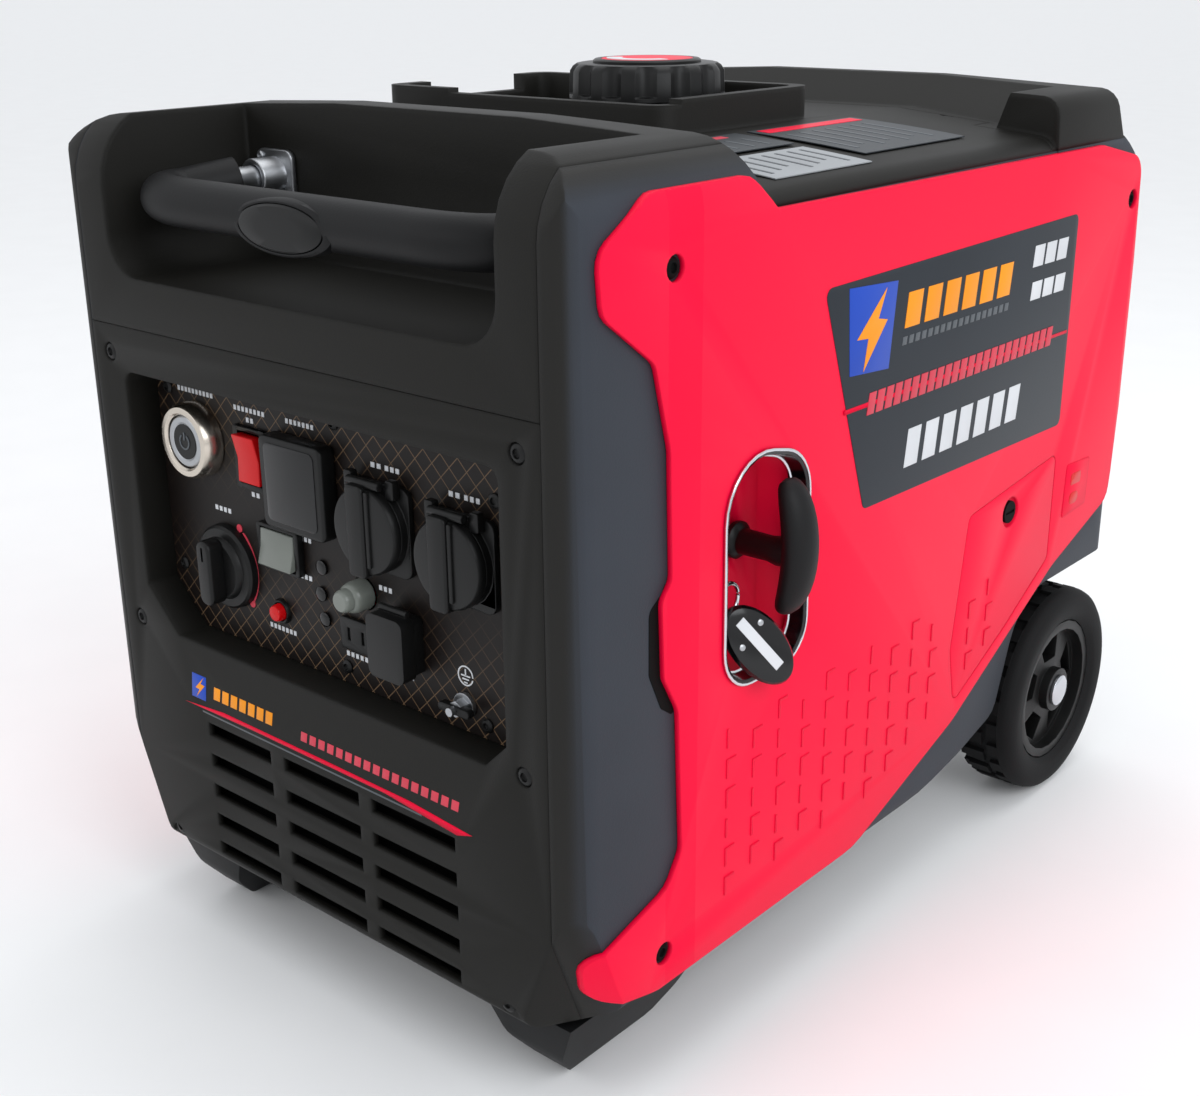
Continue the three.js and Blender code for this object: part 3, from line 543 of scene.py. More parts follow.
def banded(name, corners, profile, axis, material, body):
    """A closed band round an outline; profile is a loop of (growth, height along the axis)."""
    rings = [[spread(axis, a, b, height) for a, b in rounded(grown(corners, growth))]
             for growth, height in profile]
    return lofted(name, rings, material, body, looped=True)


def arc(centre, radius, degrees):
    """Points on a circle at a range of angles in degrees."""
    return [(centre[0] + radius * math.cos(math.radians(angle)),
             centre[1] + radius * math.sin(math.radians(angle))) for angle in degrees]


# ---- Case --------------------------------------------------------------------------------------

for node in ("right_side_shell", "left_side_shell"):
    refined(node, SIDE_SHELL, bevel=1.6)
for node in ("right_side_cover", "left_side_cover"):
    refined(node, COVER_RED, bevel=1.3, segments=3)
refined("service_door", RED, bevel=0.8)
refined("handle_shell", SHELL, bevel=4.0, segments=4, angle=32)
refined("front_fascia", SHELL, bevel=1.0)
refined("top_cover", SHELL, bevel=1.8, segments=3)
refined("rear_cover", SHELL, bevel=2.0, segments=3)
refined("base_tray", SHELL, bevel=1.0)
for node in ("right_foot", "left_foot"):
    refined(node, RUBBER, bevel=3.0, segments=3)


def screw(name, centre, along, axis, radius, outwards, material=BLACK):
    """A pan-head screw with a round socket; outwards is the sign of its axis."""
    made = bmesh.new()
    height = outwards * radius * 0.45
    profile = [[0, along], [radius, along], [radius, along + 0.45 * height],
               [radius * 0.82, along + 0.85 * height], [radius * 0.5, along + height],
               [radius * 0.42, along + 0.35 * height], [0, along + 0.3 * height]]
    add_turned(made, profile, centre, axis, 20)
    return finished(name, from_bmesh(name, made), material, "case")


FASCIA_SCREWS = ((171, 390), (170, 215.5), (152, 68))
COVER_SCREWS = ((-245, 472.5), (282, 447), (-251, 90))
COVER_SEAT = 204.6
for side, _ in SIDES:
    for number, (x, z) in enumerate(FASCIA_SCREWS):
        screw(f"fascia_screw_{side + 1}{number}", (side * x, z), FRONT + 2.45, "y", 5.4, -1)
    for number, (y, z) in enumerate(COVER_SCREWS):
        screw(f"cover_screw_{side + 1}{number}", (y, z), side * COVER_SEAT, "x", 5.6, side, material=BLACK_AND_SHADE)

# A near-black baffle behind the vents, with a ledge under each row: painted shade for the shade inside the
# vents.
VENT_ROWS = (155, 133, 111.5, 90)
prisms("vent_painted_shade", [slab(-120, 128, 60, 168, 4)], FRONT + 12, FRONT + 14, "y", BLACK_AND_SHADE, "case", 0.3)
prisms("vent_ledges_painted_shade", [slab(-116, 124, z - 8.6, z - 7.2) for z in VENT_ROWS], FRONT + 4.4,
       FRONT + 11.8, "y", BLACK_AND_SHADE, "case", 0.2)

# The finger slot in each side shell, beside the cover's front edge: a flat near-black sheet on the shell,
# painted shade of the slot's hollow.
for side, name in SIDES:
    low, high = sorted((side * (CASE_SIDE - 0.5), side * (CASE_SIDE + 0.3)))
    slot_shade_outline = rounded([(-246, 316, 2), (-250, 306, 4), (-261, 298, 7), (-261, 262, 8), (-251, 240, 5),
                      (-240, 232, 2), (-240, 238, 2), (-244, 256, 8), (-244, 300, 6)], 4)
    prisms(name + "_finger_slot_painted_shade", [slot_shade_outline], low, high, "x", BLACK_AND_SHADE, "case", 0)

# Graphics on the fascia: a small emblem, and a red swoosh over a grey line.
swoosh = [(-130, 168), (-90, 171.5), (0, 171), (80, 170), (130, 166), (118, 162), (60, 167.5),
          (-60, 168.6)]
PRINT_TOP = FRONT - 0.12
PRINT_BACK = FRONT + 0.2
prisms("fascia_swoosh", [swoosh], FRONT - 0.16, PRINT_BACK, "y", RED, "case", 0.1)
prisms("fascia_line", [[(-112, 166.6), (90, 164.8), (90, 163.6), (-112, 165.4)]],
       PRINT_TOP, PRINT_BACK, "y", GREY_LABEL, "case", 0.05)


def scaled(outline, origin, size):
    """An outline drawn on a unit square, moved to an origin at a size."""
    return [(origin[0] + a * size, origin[1] + b * size) for a, b in outline]


def bars(first, second, count, width, height, pitch, slant=0.2):
    """A row of leaning bars."""
    return [slab(first + k * pitch, first + k * pitch + width, second, second + height, 0, slant)
            for k in range(count)]


# The emblem is a leaning blue block with an orange slash across it.
EMBLEM_PLACE = (-122, 174)
EMBLEM_SIZE = 17
SLASH_STEP = 0.096
block = scaled([(0, 0), (0.85, 0), (1, 1), (0.15, 1)], EMBLEM_PLACE, EMBLEM_SIZE)
slash = scaled([(0.3, 0.06), (0.86, 0.62), (0.62, 0.64), (0.84, 0.95), (0.28, 0.42), (0.52, 0.4)],
               EMBLEM_PLACE, EMBLEM_SIZE)
prisms("fascia_emblem_block", [block], PRINT_BACK, PRINT_TOP, "y", BLUE, "case", 0.05)
prisms("fascia_emblem_slash", [slash], PRINT_BACK - SLASH_STEP, PRINT_TOP - SLASH_STEP, "y", ORANGE,
       "case", 0.05)
prisms("fascia_bars", bars(-99, 178, 7, 6.4, 9, 8.6), PRINT_TOP, PRINT_BACK, "y", ORANGE,
       "case", 0.05)
prisms("fascia_rose_bars", bars(-14, 177, 17, 5.6, 6.5, 8.0), PRINT_TOP, PRINT_BACK, "y", PINK,
       "case", 0.05)


def side_layer(side, back, top):
    """The two X heights of a layer on a side cover, lowest first, from offsets to its face."""
    return sorted((side * (SIDE + back), side * (SIDE + top)))


# The dark label on each cover, with a generic pattern.
label = rounded([(-114, 442, 5), (195, 447, 5), (194, 299, 5), (-64, 303, 5)], 4)
block = [(-86, 388), (-44, 385), (-38, 436), (-90, 439)]
bolt = [(-72, 388), (-48, 415), (-58, 417), (-50, 434), (-80, 408), (-68, 407)]
for side, name in SIDES:
    low, high = side_layer(side, -0.3, 0.35)
    print_low, print_high = side_layer(side, 0.1, 0.6)
    over_low, over_high = side_layer(side, 0.1, 0.75)
    prisms(name + "_label", [label], low, high, "x", LABEL, "case", 0.1)
    prisms(name + "_emblem", [block], print_low, print_high, "x", BLUE, "case", 0.05)
    prisms(name + "_slash", [bolt], over_low, over_high, "x", ORANGE, "case", 0.05)
    prisms(name + "_orange_bars", bars(-28, 406, 6, 17, 21, 22.5, 0.15), print_low, print_high, "x",
           ORANGE, "case", 0.1)
    prisms(name + "_grey_bars", bars(-30, 396, 18, 5, 5, 7.4), print_low, print_high, "x",
           GREY_LABEL, "case", 0.05)
    prisms(name + "_pale_bars", bars(-20, 318, 7, 15.5, 24, 21.5, 0.15)
           + bars(132, 419, 3, 14, 14, 17, 0.15) + bars(132, 397, 3, 14, 12, 17, 0.15),
           print_low, print_high, "x", PALE, "case", 0.1)
    prisms(name + "_rose_bars", bars(-66, 361, 24, 7.6, 13, 9.8), over_low, over_high, "x", PINK,
           "case", 0.05)
    prisms(name + "_red_line", [[(-90, 369), (192, 367.4), (192, 365.2), (-90, 366.2)]],
           print_low, print_high, "x", RED, "case", 0.05)

# Small raised ticks and brackets in staggered columns above the covers' lower edge. Those on the
# service door ride with it.
TICK_TOP = 208
TICK_START = -196
TICK_PITCH = 25
TICK_ROW = 19
TICK_TALL = 12
TICK_WIDE = 1.8
TICK_ARM = 9
# The cover's lower edge: level, then rising from one Y, and faster from another.
FOOT_LEVEL = 92
RISE_START, RISE = -57, 0.36
STEEP_START, STEEP_RISE = 67, 0.55


def cover_foot(y):
    """Height of the ticks' lowest row, which follows the cover's lower edge."""
    return (FOOT_LEVEL + RISE * max(0, min(y, STEEP_START) - RISE_START)
            + STEEP_RISE * max(0, y - STEEP_START))


def add_ticks(made, side, columns):
    """Adds columns of ticks, two in three of them with a short arm."""
    low, high = side_layer(side, -0.4, 0.5)
    for column in columns:
        y = TICK_START + TICK_PITCH * column
        z = TICK_TOP - TICK_TALL - (TICK_ROW / 2 if column % 2 else 0)
        row = 0
        while z > cover_foot(y):
            add_prism(made, slab(y, y + TICK_WIDE, z, z + TICK_TALL), low, high, "x")
            if (column + row) % 3:
                arm = slab(y + TICK_WIDE, y + TICK_ARM, z + 10.4, z + TICK_TALL)
                add_prism(made, arm, low, high, "x")
            z -= TICK_ROW
            row += 1


for side, name in SIDES:
    made = bmesh.new()
    add_ticks(made, side, range(10 if side > 0 else 13))
    finished(name + "_ticks", from_bmesh(name + "_ticks", made), RED, "case")
    # A faint raised plate with two small marks, behind the door.
    low, high = side_layer(side, -0.4, 0.3)
    prisms(name + "_plate", [rounded([(214, 264, 3), (252, 262, 3), (250, 226, 3), (212, 223, 3)], 3)],
           low, high, "x", RED, "case", 0.1)
    low, high = side_layer(side, -0.4, 0.5)
    prisms(name + "_plate_marks", [slab(222, 238, 246, 255, 2), slab(222, 236, 231, 240, 4)],
           low, high, "x", RED_DEEP, "case", 0.05)
made = bmesh.new()
add_ticks(made, 1, range(11, 13))
finished("door_ticks", from_bmesh("door_ticks", made), RED, "door")

# ---- Handle --------------------------------------------------------------------------------------

HANDLE_Y = edge_of("pull_handle", 0, 1) + 14.5
GRIP_Z = 483.5
ARM_X = middle_of("right_handle_guide", 0)
ARM_Z = middle_of("right_handle_guide", 2)
BAR_RADIUS = 14.2
ARM_RADIUS = 7.9


def quadratic(start, middle, end, steps):
    """Points on a curve between two ends, drawn towards a middle point."""
    return [Vector(start) * (1 - t) ** 2 + Vector(middle) * 2 * t * (1 - t) + Vector(end) * t * t
            for t in (k / steps for k in range(steps + 1))]


half_bar = [Vector((ARM_X, -246, ARM_Z)), Vector((ARM_X + 5, -260, ARM_Z - 2))]
half_bar += quadratic((ARM_X + 11, -276, GRIP_Z), (ARM_X + 14, HANDLE_Y, GRIP_Z),
                      (ARM_X - 36, HANDLE_Y, GRIP_Z), 14)
half_bar += [Vector((x, HANDLE_Y, GRIP_Z)) for x in (70, 50, 30, 10)]
bar = half_bar + [Vector((-p.x, p.y, p.z)) for p in reversed(half_bar)]
grip = swept("handle_bar", bar, BAR_RADIUS, RUBBER, "handle", sides=32)
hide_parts("pull_handle")
for side, _ in SIDES:
    arm = [Vector((side * ARM_X, y, ARM_Z)) for y in (-252, -120, 60, 70)]
    swept(f"handle_arm_{side + 1}", arm, ARM_RADIUS, STEEL, "handle")
FRONT_OF_BAR = HANDLE_Y - 13.4
BUTTON = (0, 480.5)
BUTTON_OVAL = (1, 0.37)
boss_profile = [[0, HANDLE_Y - 4], [42, HANDLE_Y - 4], [41, FRONT_OF_BAR + 1],
                [38, FRONT_OF_BAR - 0.4], [35.6, FRONT_OF_BAR - 0.4], [35.4, FRONT_OF_BAR + 7],
                [0, FRONT_OF_BAR + 7]]
turned("handle_boss", boss_profile, BUTTON, "y", RUBBER, "handle", segments=64,
       oval=BUTTON_OVAL)
button_profile = [[0, FRONT_OF_BAR + 2.6], [34.6, FRONT_OF_BAR + 2.6], [34.4, FRONT_OF_BAR - 0.6],
                  [31, FRONT_OF_BAR - 1.9], [18, FRONT_OF_BAR - 2.2], [0, FRONT_OF_BAR - 2.3]]
button = turned("handle_button_look", button_profile, BUTTON, "y", BLACK, "button",
                segments=64, oval=BUTTON_OVAL)
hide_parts("handle_button")
BRACKET_FRONT = -217
BRACKET_BACK = -213.4
for side, name in SIDES:
    refined(name + "_handle_guide", STEEL, bevel=0.8)
    bracket = slab(side * ARM_X - 17, side * ARM_X + 17, ARM_Z - 16, ARM_Z + 16, 6)
    prisms(name + "_guide_bracket", [bracket], BRACKET_FRONT, BRACKET_BACK, "y", STEEL, "case",
           0.8)
    for number, (dx, dz) in enumerate(((-12.5, 11.5), (12.5, -11.5))):
        screw(f"{name}_bracket_screw_{number}", (side * ARM_X + dx, ARM_Z + dz), BRACKET_FRONT, "y",
              3, -1, material=STEEL)

# ---- Control panel -------------------------------------------------------------------------------

painted("control_panel", PRINT)
PANEL_SCREWS = ((-146, 368), (9, 372), (-147, 252), (8, 224), (134, 353), (123, 222))
for number, (x, z) in enumerate(PANEL_SCREWS):
    screw(f"panel_screw_{number}", (x, z), PANEL, "y", 4.2, -1)


def on_panel(profile):
    """A profile of (radius, height above the panel) as radius and Y."""
    return [[radius, PANEL - height] for radius, height in profile]


START = (-118, 340)
collar = turned("start_ring", on_panel([(16.6, 2), (16.6, 11.6), (18, 13), (21.4, 12.6), (23.6, 9),
                                        (24, 0.4), (16.6, 0.4), (16.6, 2)]),
                START, "y", CHAMPAGNE, "case", segments=56)
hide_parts("start_button_collar")
key = turned("start_key", on_panel([(0, 6), (16, 6), (16, 10.6), (15, 11.4), (12, 11.4), (11.4, 10.9),
                                    (0, 10.9)]),
             START, "y", STEEL, "start_key", segments=56)
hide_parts("start_button")
turned("start_face", on_panel([(0, 10.8), (11, 10.8), (11, 11.2), (0, 11.3)]), START, "y", BLACK,
       "start_key", segments=40)
ring = arc(START, 5, range(120, 421, 20)) + arc(START, 3.9, range(420, 119, -20))
prisms("start_mark", [ring, slab(START[0] - 0.6, START[0] + 0.6, START[1] + 1, START[1] + 6)],
       PANEL - 11.7, PANEL - 11.2, "y", GREY_LABEL, "start_key", 0)

refined("main_switch", RED_DEEP, bevel=0.8, segments=3)
switch_frame = bmesh.new()
for outline in (slab(-80.5, -76.6, 318, 356), slab(-55.4, -51.5, 318, 356),
                slab(-76.6, -55.4, 318, 321), slab(-76.6, -55.4, 353.2, 356)):
    add_prism(switch_frame, outline, PANEL - 3, PANEL - 0.1, "y")
finished("main_switch_frame", from_bmesh("main_switch_frame", switch_frame), BLACK, "case",
         0.4)
refined("display_module", BLACK, bevel=2.2, segments=3)
prisms("display_window", [slab(-40, 4, 308, 355, 4)], PANEL - 12.5, PANEL - 11.9, "y", GLOSS, "case",
       0.2)
refined("breaker_frame", BLACK, bevel=0.9)
refined("breaker_rocker", SMOKE, bevel=0.7)

KNOB = (-98, 262)
knob = turned("knob_disc", on_panel([(0, 0.4), (27, 0.4), (26.6, 4.6), (25, 6.2), (20, 6.6), (19, 9),
                                     (17.6, 10.2), (0, 10.4)]),
              KNOB, "y", BLACK, "knob", segments=56)
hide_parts("fuel_knob")
prisms("knob_bar", [slab(KNOB[0] - 6.5, KNOB[0] + 6.5, KNOB[1] - 21, KNOB[1] + 21, 6)],
       PANEL - 21, PANEL - 9, "y", BLACK, "knob", 2.2, 4)
prisms("knob_mark", [slab(KNOB[0] - 0.9, KNOB[0] + 0.9, KNOB[1] + 8, KNOB[1] + 17)],
       PANEL - 21.0, PANEL - 20.6, "y", PALE, "knob", 0)
# A printed arc beside the knob, with a dot at each end.
SCALE = (-104, 262)
made = bmesh.new()
add_prism(made, arc(SCALE, 33, range(-36, 51, 6)) + arc(SCALE, 31.6, range(50, -37, -6)),
          PANEL - 0.4, PANEL + 0.1, "y")
for dot in arc(SCALE, 32.3, (-40, 56)):
    add_turned(made, on_panel([(0, -0.1), (2.6, -0.1), (2.6, 0.5), (0, 0.5)]), dot, "y", 16)
finished("knob_scale", from_bmesh("knob_scale", made), PINK, "case")

RESET = (-50, 244)
reset = turned("reset_key", on_panel([(0, 0.4), (5.4, 0.4), (5.3, 5), (4.6, 6.6), (2.5, 7), (0, 7)]),
               RESET, "y", RED_DEEP, "reset_key")
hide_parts("reset_button")
turned("reset_ring", on_panel([(6, -0.2), (6, 2.4), (7.2, 2.6), (8, 1), (8, -0.2), (6, -0.2)]),
       RESET, "y", BLACK, "case")
lens = on_panel([(0, 0.3), (4.6, 0.3), (4.6, 1.6), (3.6, 2.2), (2, 2.5), (0, 2.5)])
for name, x, z in (("oil", -9, 282), ("overload", -11, 265), ("output", -9, 249.5)):
    light = turned(name + "_lens", lens, (x, z), "y", GLOSS, "case")
    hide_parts(name + "_light")
cap_key = turned("breaker_cap_look", on_panel([(0, 0.4), (9.4, 0.4), (9.2, 9), (8.2, 12), (6.8, 13),
                                               (6.6, 17.6), (5.4, 19), (0, 19)]),
                 (27, 275), "y", SMOKE, "breaker_key", segments=24)
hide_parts("breaker_cap")
refined("small_outlet", BLACK, bevel=0.6)
refined("dc_outlet", BLACK, bevel=1.0)
refined("dc_cover", BLACK, bevel=3.0, segments=4)
painted("ground_terminal", STEEL)
prisms("ground_wings", [slab(95, 119, 227.4, 232.6, 2.4)], PANEL - 11, PANEL - 6, "y", BLACK, "case",
       0.9)

# Printed marks on the panel: rows of small blocks, and the ground sign.
MARK_TOP = PANEL - 0.35
MARK_BACK = PANEL + 0.1
LETTER_PITCH = 3.6
marks = bmesh.new()
for x, z, width in ((-118, 369, 36), (-66, 366, 30), (-66, 360, 8), (-66, 314, 9), (-20, 366, 26),
                    (44, 354, 10), (57, 354, 13), (105, 350, 10), (118, 350, 13), (-100, 298, 17),
                    (-24, 296, 15), (-50, 232, 26), (18, 233, 20), (-24, 272, 12), (46, 282, 12),
                    (62, 233, 10)):
    letters = max(2, int(width / LETTER_PITCH))
    for k in range(letters):
        left = x - width / 2 + k * width / letters
        letter = slab(left, left + 0.62 * width / letters, z - 1.5, z + 1.5)
        add_prism(marks, letter, MARK_TOP, MARK_BACK, "y")
GROUND = (107, 247)
ground_ring = arc(GROUND, 6, range(0, 351, 15)) + arc(GROUND, 5.2, range(345, -1, -15))
add_prism(marks, ground_ring, MARK_TOP, MARK_BACK, "y")
for z, width in ((247, 7), (245, 5), (243, 2.6)):
    line = slab(GROUND[0] - width / 2, GROUND[0] + width / 2, z - 0.4, z + 0.4)
    add_prism(marks, line, MARK_TOP, MARK_BACK, "y")
add_prism(marks, slab(106.6, 107.4, 247, 251), MARK_TOP, MARK_BACK, "y")
finished("panel_marks", from_bmesh("panel_marks", marks), PALE, "case")

for body, x, z in (("first", 46, 320), ("second", 110, 316)):
    refined(body + "_socket", BLACK, bevel=1.2)
    lid = turned(body + "_lid_disc", on_panel([(0, 9.5), (25.3, 9.5), (25.3, 12.6), (24, 14.4),
                                               (21.5, 14.9), (0, 15)]),
                 (x, z), "y", BLACK, body + "_lid", segments=56)
    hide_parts(body + "_socket_lid")
    prisms(body + "_lid_fin", [slab(x - 11, x + 3, z - 27, z + 26.5, 3)], PANEL - 17.5, PANEL - 9.6, "y",
           BLACK, body + "_lid", 1.6, 3)
    prisms(body + "_lid_step", [slab(x + 3.4, x + 6.4, z - 20, z + 24, 1)], PANEL - 16.4, PANEL - 9.6, "y",
           BLACK, body + "_lid", 0.7, 2)
    turned(body + "_lid_pin", [[0, x - 13], [2.6, x - 13], [2.6, x + 13], [0, x + 13]],
           (PANEL - 12, z + 27.5), "x", BLACK, body + "_lid", segments=20, bevel=0.5)
    blocks = [slab(x - 20, x - 13.6, z + 20, z + 31, 1.5), slab(x + 13.6, x + 20, z + 20, z + 31, 1.5)]
    prisms(body + "_hinge_block", blocks, PANEL - 9.4, PANEL - 4.2, "y", BLACK, "case",
           0.8)

# ---- Recoil starter -------------------------------------------------------------------------------

refined("recoil_pocket", RED, bevel=0)
# The recess's outline, and the bezel round it: a bright lip, a dark wall and a bright line inside.
POCKET = [(-124, 232, 22), (-199, 232, 24), (-200, 370, 32), (-126, 352, 28)]
LIP_TOP = edge_of("recoil_bezel", 1, 0)


def bezel_band(name, profile, material):
    """A band round the recess; profile is a loop of (growth, depth below the lip's top)."""
    return banded(name, POCKET, [(growth, LIP_TOP - depth) for growth, depth in profile], "x",
                  material, "case")


lip = bezel_band("bezel_lip", [(3, 1.6), (3, 0.4), (2.4, 0), (1.4, 0.1), (1.0, 1.6)], CHROME)
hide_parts("recoil_bezel")
bezel_band("bezel_wall", [(1.2, 0.7), (1.2, 1.5), (0.1, 1.7), (-0.3, 12), (-2.4, 12), (-1.6, 6),
                          (-0.5, 1.2)], GLOSS)
bezel_band("bezel_line", [(-2.0, 9.4), (-2.0, 11.6), (-3.2, 11.6), (-3.2, 10)], CHROME)
PULL = (-152, 302)
RIB_CLEARANCE = 12
ribs = [slab(-194, -186, z - 1.2, z + 1.2, 0.5) for z in range(250, 346, 11)
        if abs(z - PULL[1]) >= RIB_CLEARANCE]
prisms("pocket_ribs", ribs, 176.2, 196, "x", RED, "case", 0.4)

# The grip's middle line (x, z), with its half width and half thickness there.
GRIP = ((212.3, 267, 6, 4), (216.8, 272, 10.6, 7), (220.8, 282, 12.4, 8.6), (223.1, 294, 13, 9),
        (223.7, 305, 13, 9.2), (223.1, 316, 13, 9), (220.8, 328, 12.4, 8.6), (216.8, 339, 10.6, 7),
        (212.3, 345, 6, 4))
GRIP_SIDES = 24
rings = []
for i, (x, z, half_wide, half_thick) in enumerate(GRIP):
    before = GRIP[max(i - 1, 0)]
    after = GRIP[min(i + 1, len(GRIP) - 1)]
    tangent = Vector((after[0] - before[0], 0, after[1] - before[1])).normalized()
    normal = Vector((tangent.z, 0, -tangent.x))
    ring = []
    for k in range(GRIP_SIDES):
        angle = 2 * math.pi * k / GRIP_SIDES
        ring.append(at(*(Vector((x, PULL[0] + half_wide * math.cos(angle), z))
                         + normal * half_thick * math.sin(angle))))
    rings.append(ring)
pull = lofted("pull_grip", rings, RUBBER, "starter")
subdivision = pull.modifiers.new("smooth", "SUBSURF")
subdivision.levels = subdivision.render_levels = 1
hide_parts("starter_grip")
turned("pull_stem", [[0, 178], [10, 178], [11, 179.5], [11, 182], [9.6, 183.5], [7.6, 184.5], [7.4, 204],
                     [8.6, 210], [8, 218], [0, 218]], PULL, "x", BLACK, "starter")
painted("starter_rope", RUBBER)

# The key fob: an oval case, a pale strip, two screws, and the ring it hangs from.
FOB_BACK = Vector((210, -174, 253))
FOB_OUT = Vector((0.88, -0.42, 0.22)).normalized()
FOB_LONG = Vector((0.56, 0.42, -0.75))
FOB_LONG = (FOB_LONG - FOB_OUT * FOB_LONG.dot(FOB_OUT)).normalized()
FOB_SHORT = FOB_OUT.cross(FOB_LONG)


def fob_point(along, across, out):
    """A point in metres from its distances along, across and out of the fob."""
    return at(*(FOB_BACK + FOB_LONG * along + FOB_SHORT * across + FOB_OUT * out))


def fob_solid(name, layers, material, count=40):
    """A stack of outlines on the fob: each layer is (half length, half width, height, centre)."""
    rings = []
    for half_long, half_short, height, centre in layers:
        angles = [2 * math.pi * k / count for k in range(count)]
        rings.append([fob_point(centre[0] + half_long * math.cos(angle),
                                centre[1] + half_short * math.sin(angle), height)
                      for angle in angles])
    return lofted(name, rings, material, "remote")


FOB_HALF_LONG = 28
FOB_HALF_SHORT = 16
# Each layer of the case: growth along, growth across, and height.
FOB_LAYERS = ((-2, -2, 0), (-0.4, -0.4, 1.2), (0, 0, 3.6), (-0.3, -0.3, 3.9), (-0.3, -0.3, 4.4), (0, 0, 4.7),
              (-1.6, -1.6, 7), (-6, -5.4, 7.9))
fob = fob_solid("fob_case", [(FOB_HALF_LONG + along, FOB_HALF_SHORT + across, height, (0, 0))
                             for along, across, height in FOB_LAYERS], GLOSS)
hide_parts("remote_fob")
strip = [(-20, 3.4), (17, 3.4), (17, -3), (-20, -3)]
lofted("fob_strip", [[fob_point(a, b, height) for a, b in strip] for height in (7.0, 8.1)], PALE,
       "remote")
for number, spot in enumerate(((-10, 8.6), (-8, -8.6))):
    layers = [(1.9, 1.9, 6.8, spot), (1.9, 1.9, 8.1, spot), (1.2, 1.2, 8.4, spot)]
    fob_solid(f"fob_screw_{number}", layers, STEEL, 16)
RING = (200, -186, 281)
RING_RADIUS = 9
RING_WIRE = 1.3
ring = [Vector((RING[0], RING[1] + y, RING[2] + z))
        for y, z in arc((0, 0), RING_RADIUS, (360 * k / 28 for k in range(28)))]
swept("fob_ring", ring, RING_WIRE, CHROME, "remote", 10, True)

# ---- Fuel cap and top labels ---------------------------------------------------------------------

CAP = (CAP_X, CAP_Y)
FLUTES = 14
CAP_POINTS = FLUTES * 10
# Each ring of the cap: radius, height above its foot, and depth of the flutes.
CAP_RINGS = ((49, 0, 0), (52, 0.6, 0), (52, 3, 0.4), (52, 4, 4), (51.4, 18, 4), (49.4, 21, 3),
             (47, 22.6, 0.5), (44, 23, 0), (36, 23, 0))
rings = []
for radius, height, depth in CAP_RINGS:
    ring = []
    for k in range(CAP_POINTS):
        angle = 2 * math.pi * k / CAP_POINTS
        reach = radius - depth * max(0.0, math.cos(angle * FLUTES)) ** 0.5
        ring.append(at(CAP_X + reach * math.cos(angle), CAP_Y + reach * math.sin(angle),
                       CAP_LOW + height))
    rings.append(ring)
cap = lofted("fuel_cap_look", rings, BLACK, "cap")
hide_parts("fuel_cap")
turned("cap_disc", [[0, CAP_LOW + 22], [36, CAP_LOW + 22], [36, CAP_TOP - 1.6], [34.6, CAP_TOP - 0.6],
                    [31.4, CAP_TOP - 0.5], [31, CAP_TOP - 0.9], [0, CAP_TOP - 0.9]],
       CAP, "z", BLACK, "cap", segments=56)
turned("cap_print", [[0, CAP_TOP - 1], [30.6, CAP_TOP - 1], [30.4, CAP_TOP - 0.5], [0, CAP_TOP - 0.4]],
       CAP, "z", RED, "cap", segments=56)
crescent = arc(CAP, 27, range(200, 341, 10)) + arc(CAP, 17, range(340, 199, -10))
prisms("cap_crescent", [crescent], CAP_TOP - 0.6, CAP_TOP - 0.1, "z", PALE, "cap", 0.05)
painted("fuel_cap_plug", BLACK)


LABEL_STEPS = 6


def rectangle_label(name, x0, x1, y0, y1, lift, material):
    """A thin rectangular label that follows the crown of the top cover."""
    rings = []
    for i in range(LABEL_STEPS + 1):
        x = x0 + (x1 - x0) * i / LABEL_STEPS
        low = cover_height(x) - 0.4
        high = cover_height(x) + lift
        rings.append([at(x, y0, low), at(x, y1, low), at(x, y1, high), at(x, y0, high)])
    lofted(name, rings, material, "case")


rectangle_label("pale_label", 138, 186, -132, -36, 0.3, ASH_LABEL)
for number in range(7):
    y = -124 + 12.5 * number
    rectangle_label(f"pale_label_row_{number}", 144, 178 - 4 * (number % 3), y, y + 2.6, 0.5, GREY_LABEL)
rectangle_label("grey_label", 84, 170, -18, 100, 0.25, SLATE_LABEL)
rectangle_label("grey_label_head", 87, 97, -12, 94, 0.45, RED)
for number in range(7):
    y = -8 + 14.5 * number
    rectangle_label(f"grey_label_row_{number}", 106, 158 - 6 * (number % 2), y, y + 3, 0.45, GREY_LABEL)
rectangle_label("small_label", 84, 128, -104, -30, 0.25, SLATE_LABEL)
rectangle_label("small_label_head", 88, 94, -98, -50, 0.45, PINK)
for number in range(4):
    y = -96 + 16 * number
    rectangle_label(f"small_label_row_{number}", 101, 122, y, y + 3, 0.45, GREY_LABEL)
for number, (x, y) in enumerate(((143, -139), (113, 180), (-143, -139), (-113, 180))):
    screw(f"top_screw_{number}", (x, y), cover_height(x) - 3.6, "z", 5, 1)

# ---- Wheels ---------------------------------------------------------------------------------------

BLOCKS = 26
BLOCK_TOP = WHEEL_RADIUS - 0.15
centre = (WHEEL_Y, WHEEL_Z)
outer, inner = WHEEL_OUT, WHEEL_IN
middle = (inner + outer) / 2
reach = 0.62 * math.pi / BLOCKS
inner_block = [(75, -reach), (BLOCK_TOP, -reach * 0.9), (BLOCK_TOP, reach * 0.9), (75, reach)]
shoulder = [(66, -reach * 0.7), (78.4, -reach * 0.9), (78.4, reach * 0.9), (66, reach * 0.7)]
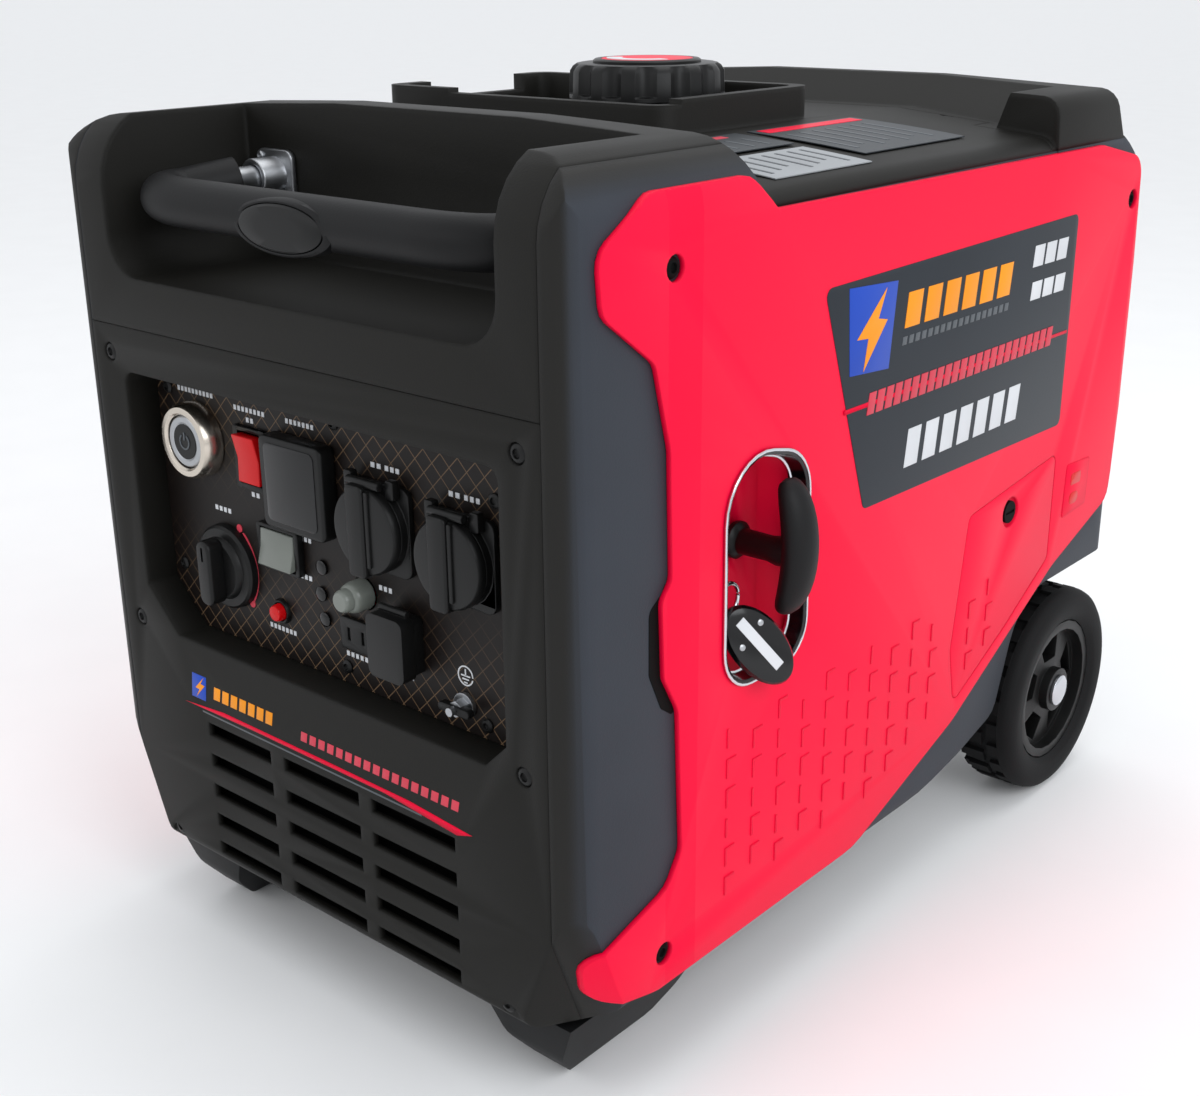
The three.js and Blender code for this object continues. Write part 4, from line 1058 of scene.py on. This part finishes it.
# Each kind of tread block: outline, turn in half pitches, and its near and far sides.
TREAD = ((inner_block, 0, inner + 5, middle - 2), (shoulder, 0, inner + 0.3, inner + 6),
         (inner_block, 1, middle + 2, outer - 11.5))
for side, name in SIDES:
    body = name + "_wheel"
    profile = [[55.2, inner + 5], [60, inner + 1], [70, inner + 0.4], [75, inner + 4], [76.5, inner + 10],
               [77, (inner + outer) / 2], [77.2, outer - 13], [79.7, outer - 12], [79.4, outer - 8],
               [78, outer - 4], [75, outer - 1.4], [70, outer - 0.2], [60, outer - 1],
               [55.2, outer - 5], [55.2, inner + 5]]
    made = bmesh.new()
    add_turned(made, [[r, side * x] for r, x in profile], centre, "x", 78)
    for k in range(BLOCKS):
        for shape, turn, near, far in TREAD:
            angle = math.pi * (2 * k + turn) / BLOCKS
            outline = [(WHEEL_Y + r * math.cos(angle + t), WHEEL_Z + r * math.sin(angle + t))
                       for r, t in shape]
            add_prism(made, outline, side * near, side * far, "x")
    tyre = finished(name + "_tread", from_bmesh(name + "_tread", made), TYRE, body)
    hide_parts(name + "_tyre")
    refined(name + "_rim", BLACK, bevel=1.4, segments=3)
    hub = turned(name + "_hub_dome", [[0, side * (outer - 2.6)], [12, side * (outer - 2.6)],
                                      [12, side * (outer - 0.6)], [10, side * (outer + 0.6)],
                                      [6, side * (outer + 1)], [0, side * (outer + 1)]],
                 centre, "x", CHROME, body, segments=32)
    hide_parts(name + "_hub_cap")

# ---- Inside the case and small leftovers -----------------------------------------------------------

for node, material in (("axle", STEEL), ("service_door_screw", BLACK_AND_SHADE), ("fuel_tank", TANK),
                       ("engine", ALLOY), ("alternator", STEEL), ("recoil_starter", BLACK),
                       ("air_filter", BLACK), ("muffler", STEEL), ("inverter_module", ALLOY),
                       ("battery", BLACK)):
    painted(node, material)

FLOOR_REACH = 60.0
floor_mesh = bpy.data.meshes.new("floor")
floor_corners = [(x * FLOOR_REACH, y * FLOOR_REACH, 0) for x, y in ((-1, -1), (1, -1), (1, 1), (-1, 1))]
floor_mesh.from_pydata(floor_corners, [], [(0, 1, 2, 3)])
floor_mesh.materials.append(moulded("studio_floor", (0.86, 0.86, 0.86, 1), 0.7, grain=0.01, variation=0.01))
floor = bpy.data.objects.new("floor", floor_mesh)
bpy.context.scene.collection.objects.link(floor)
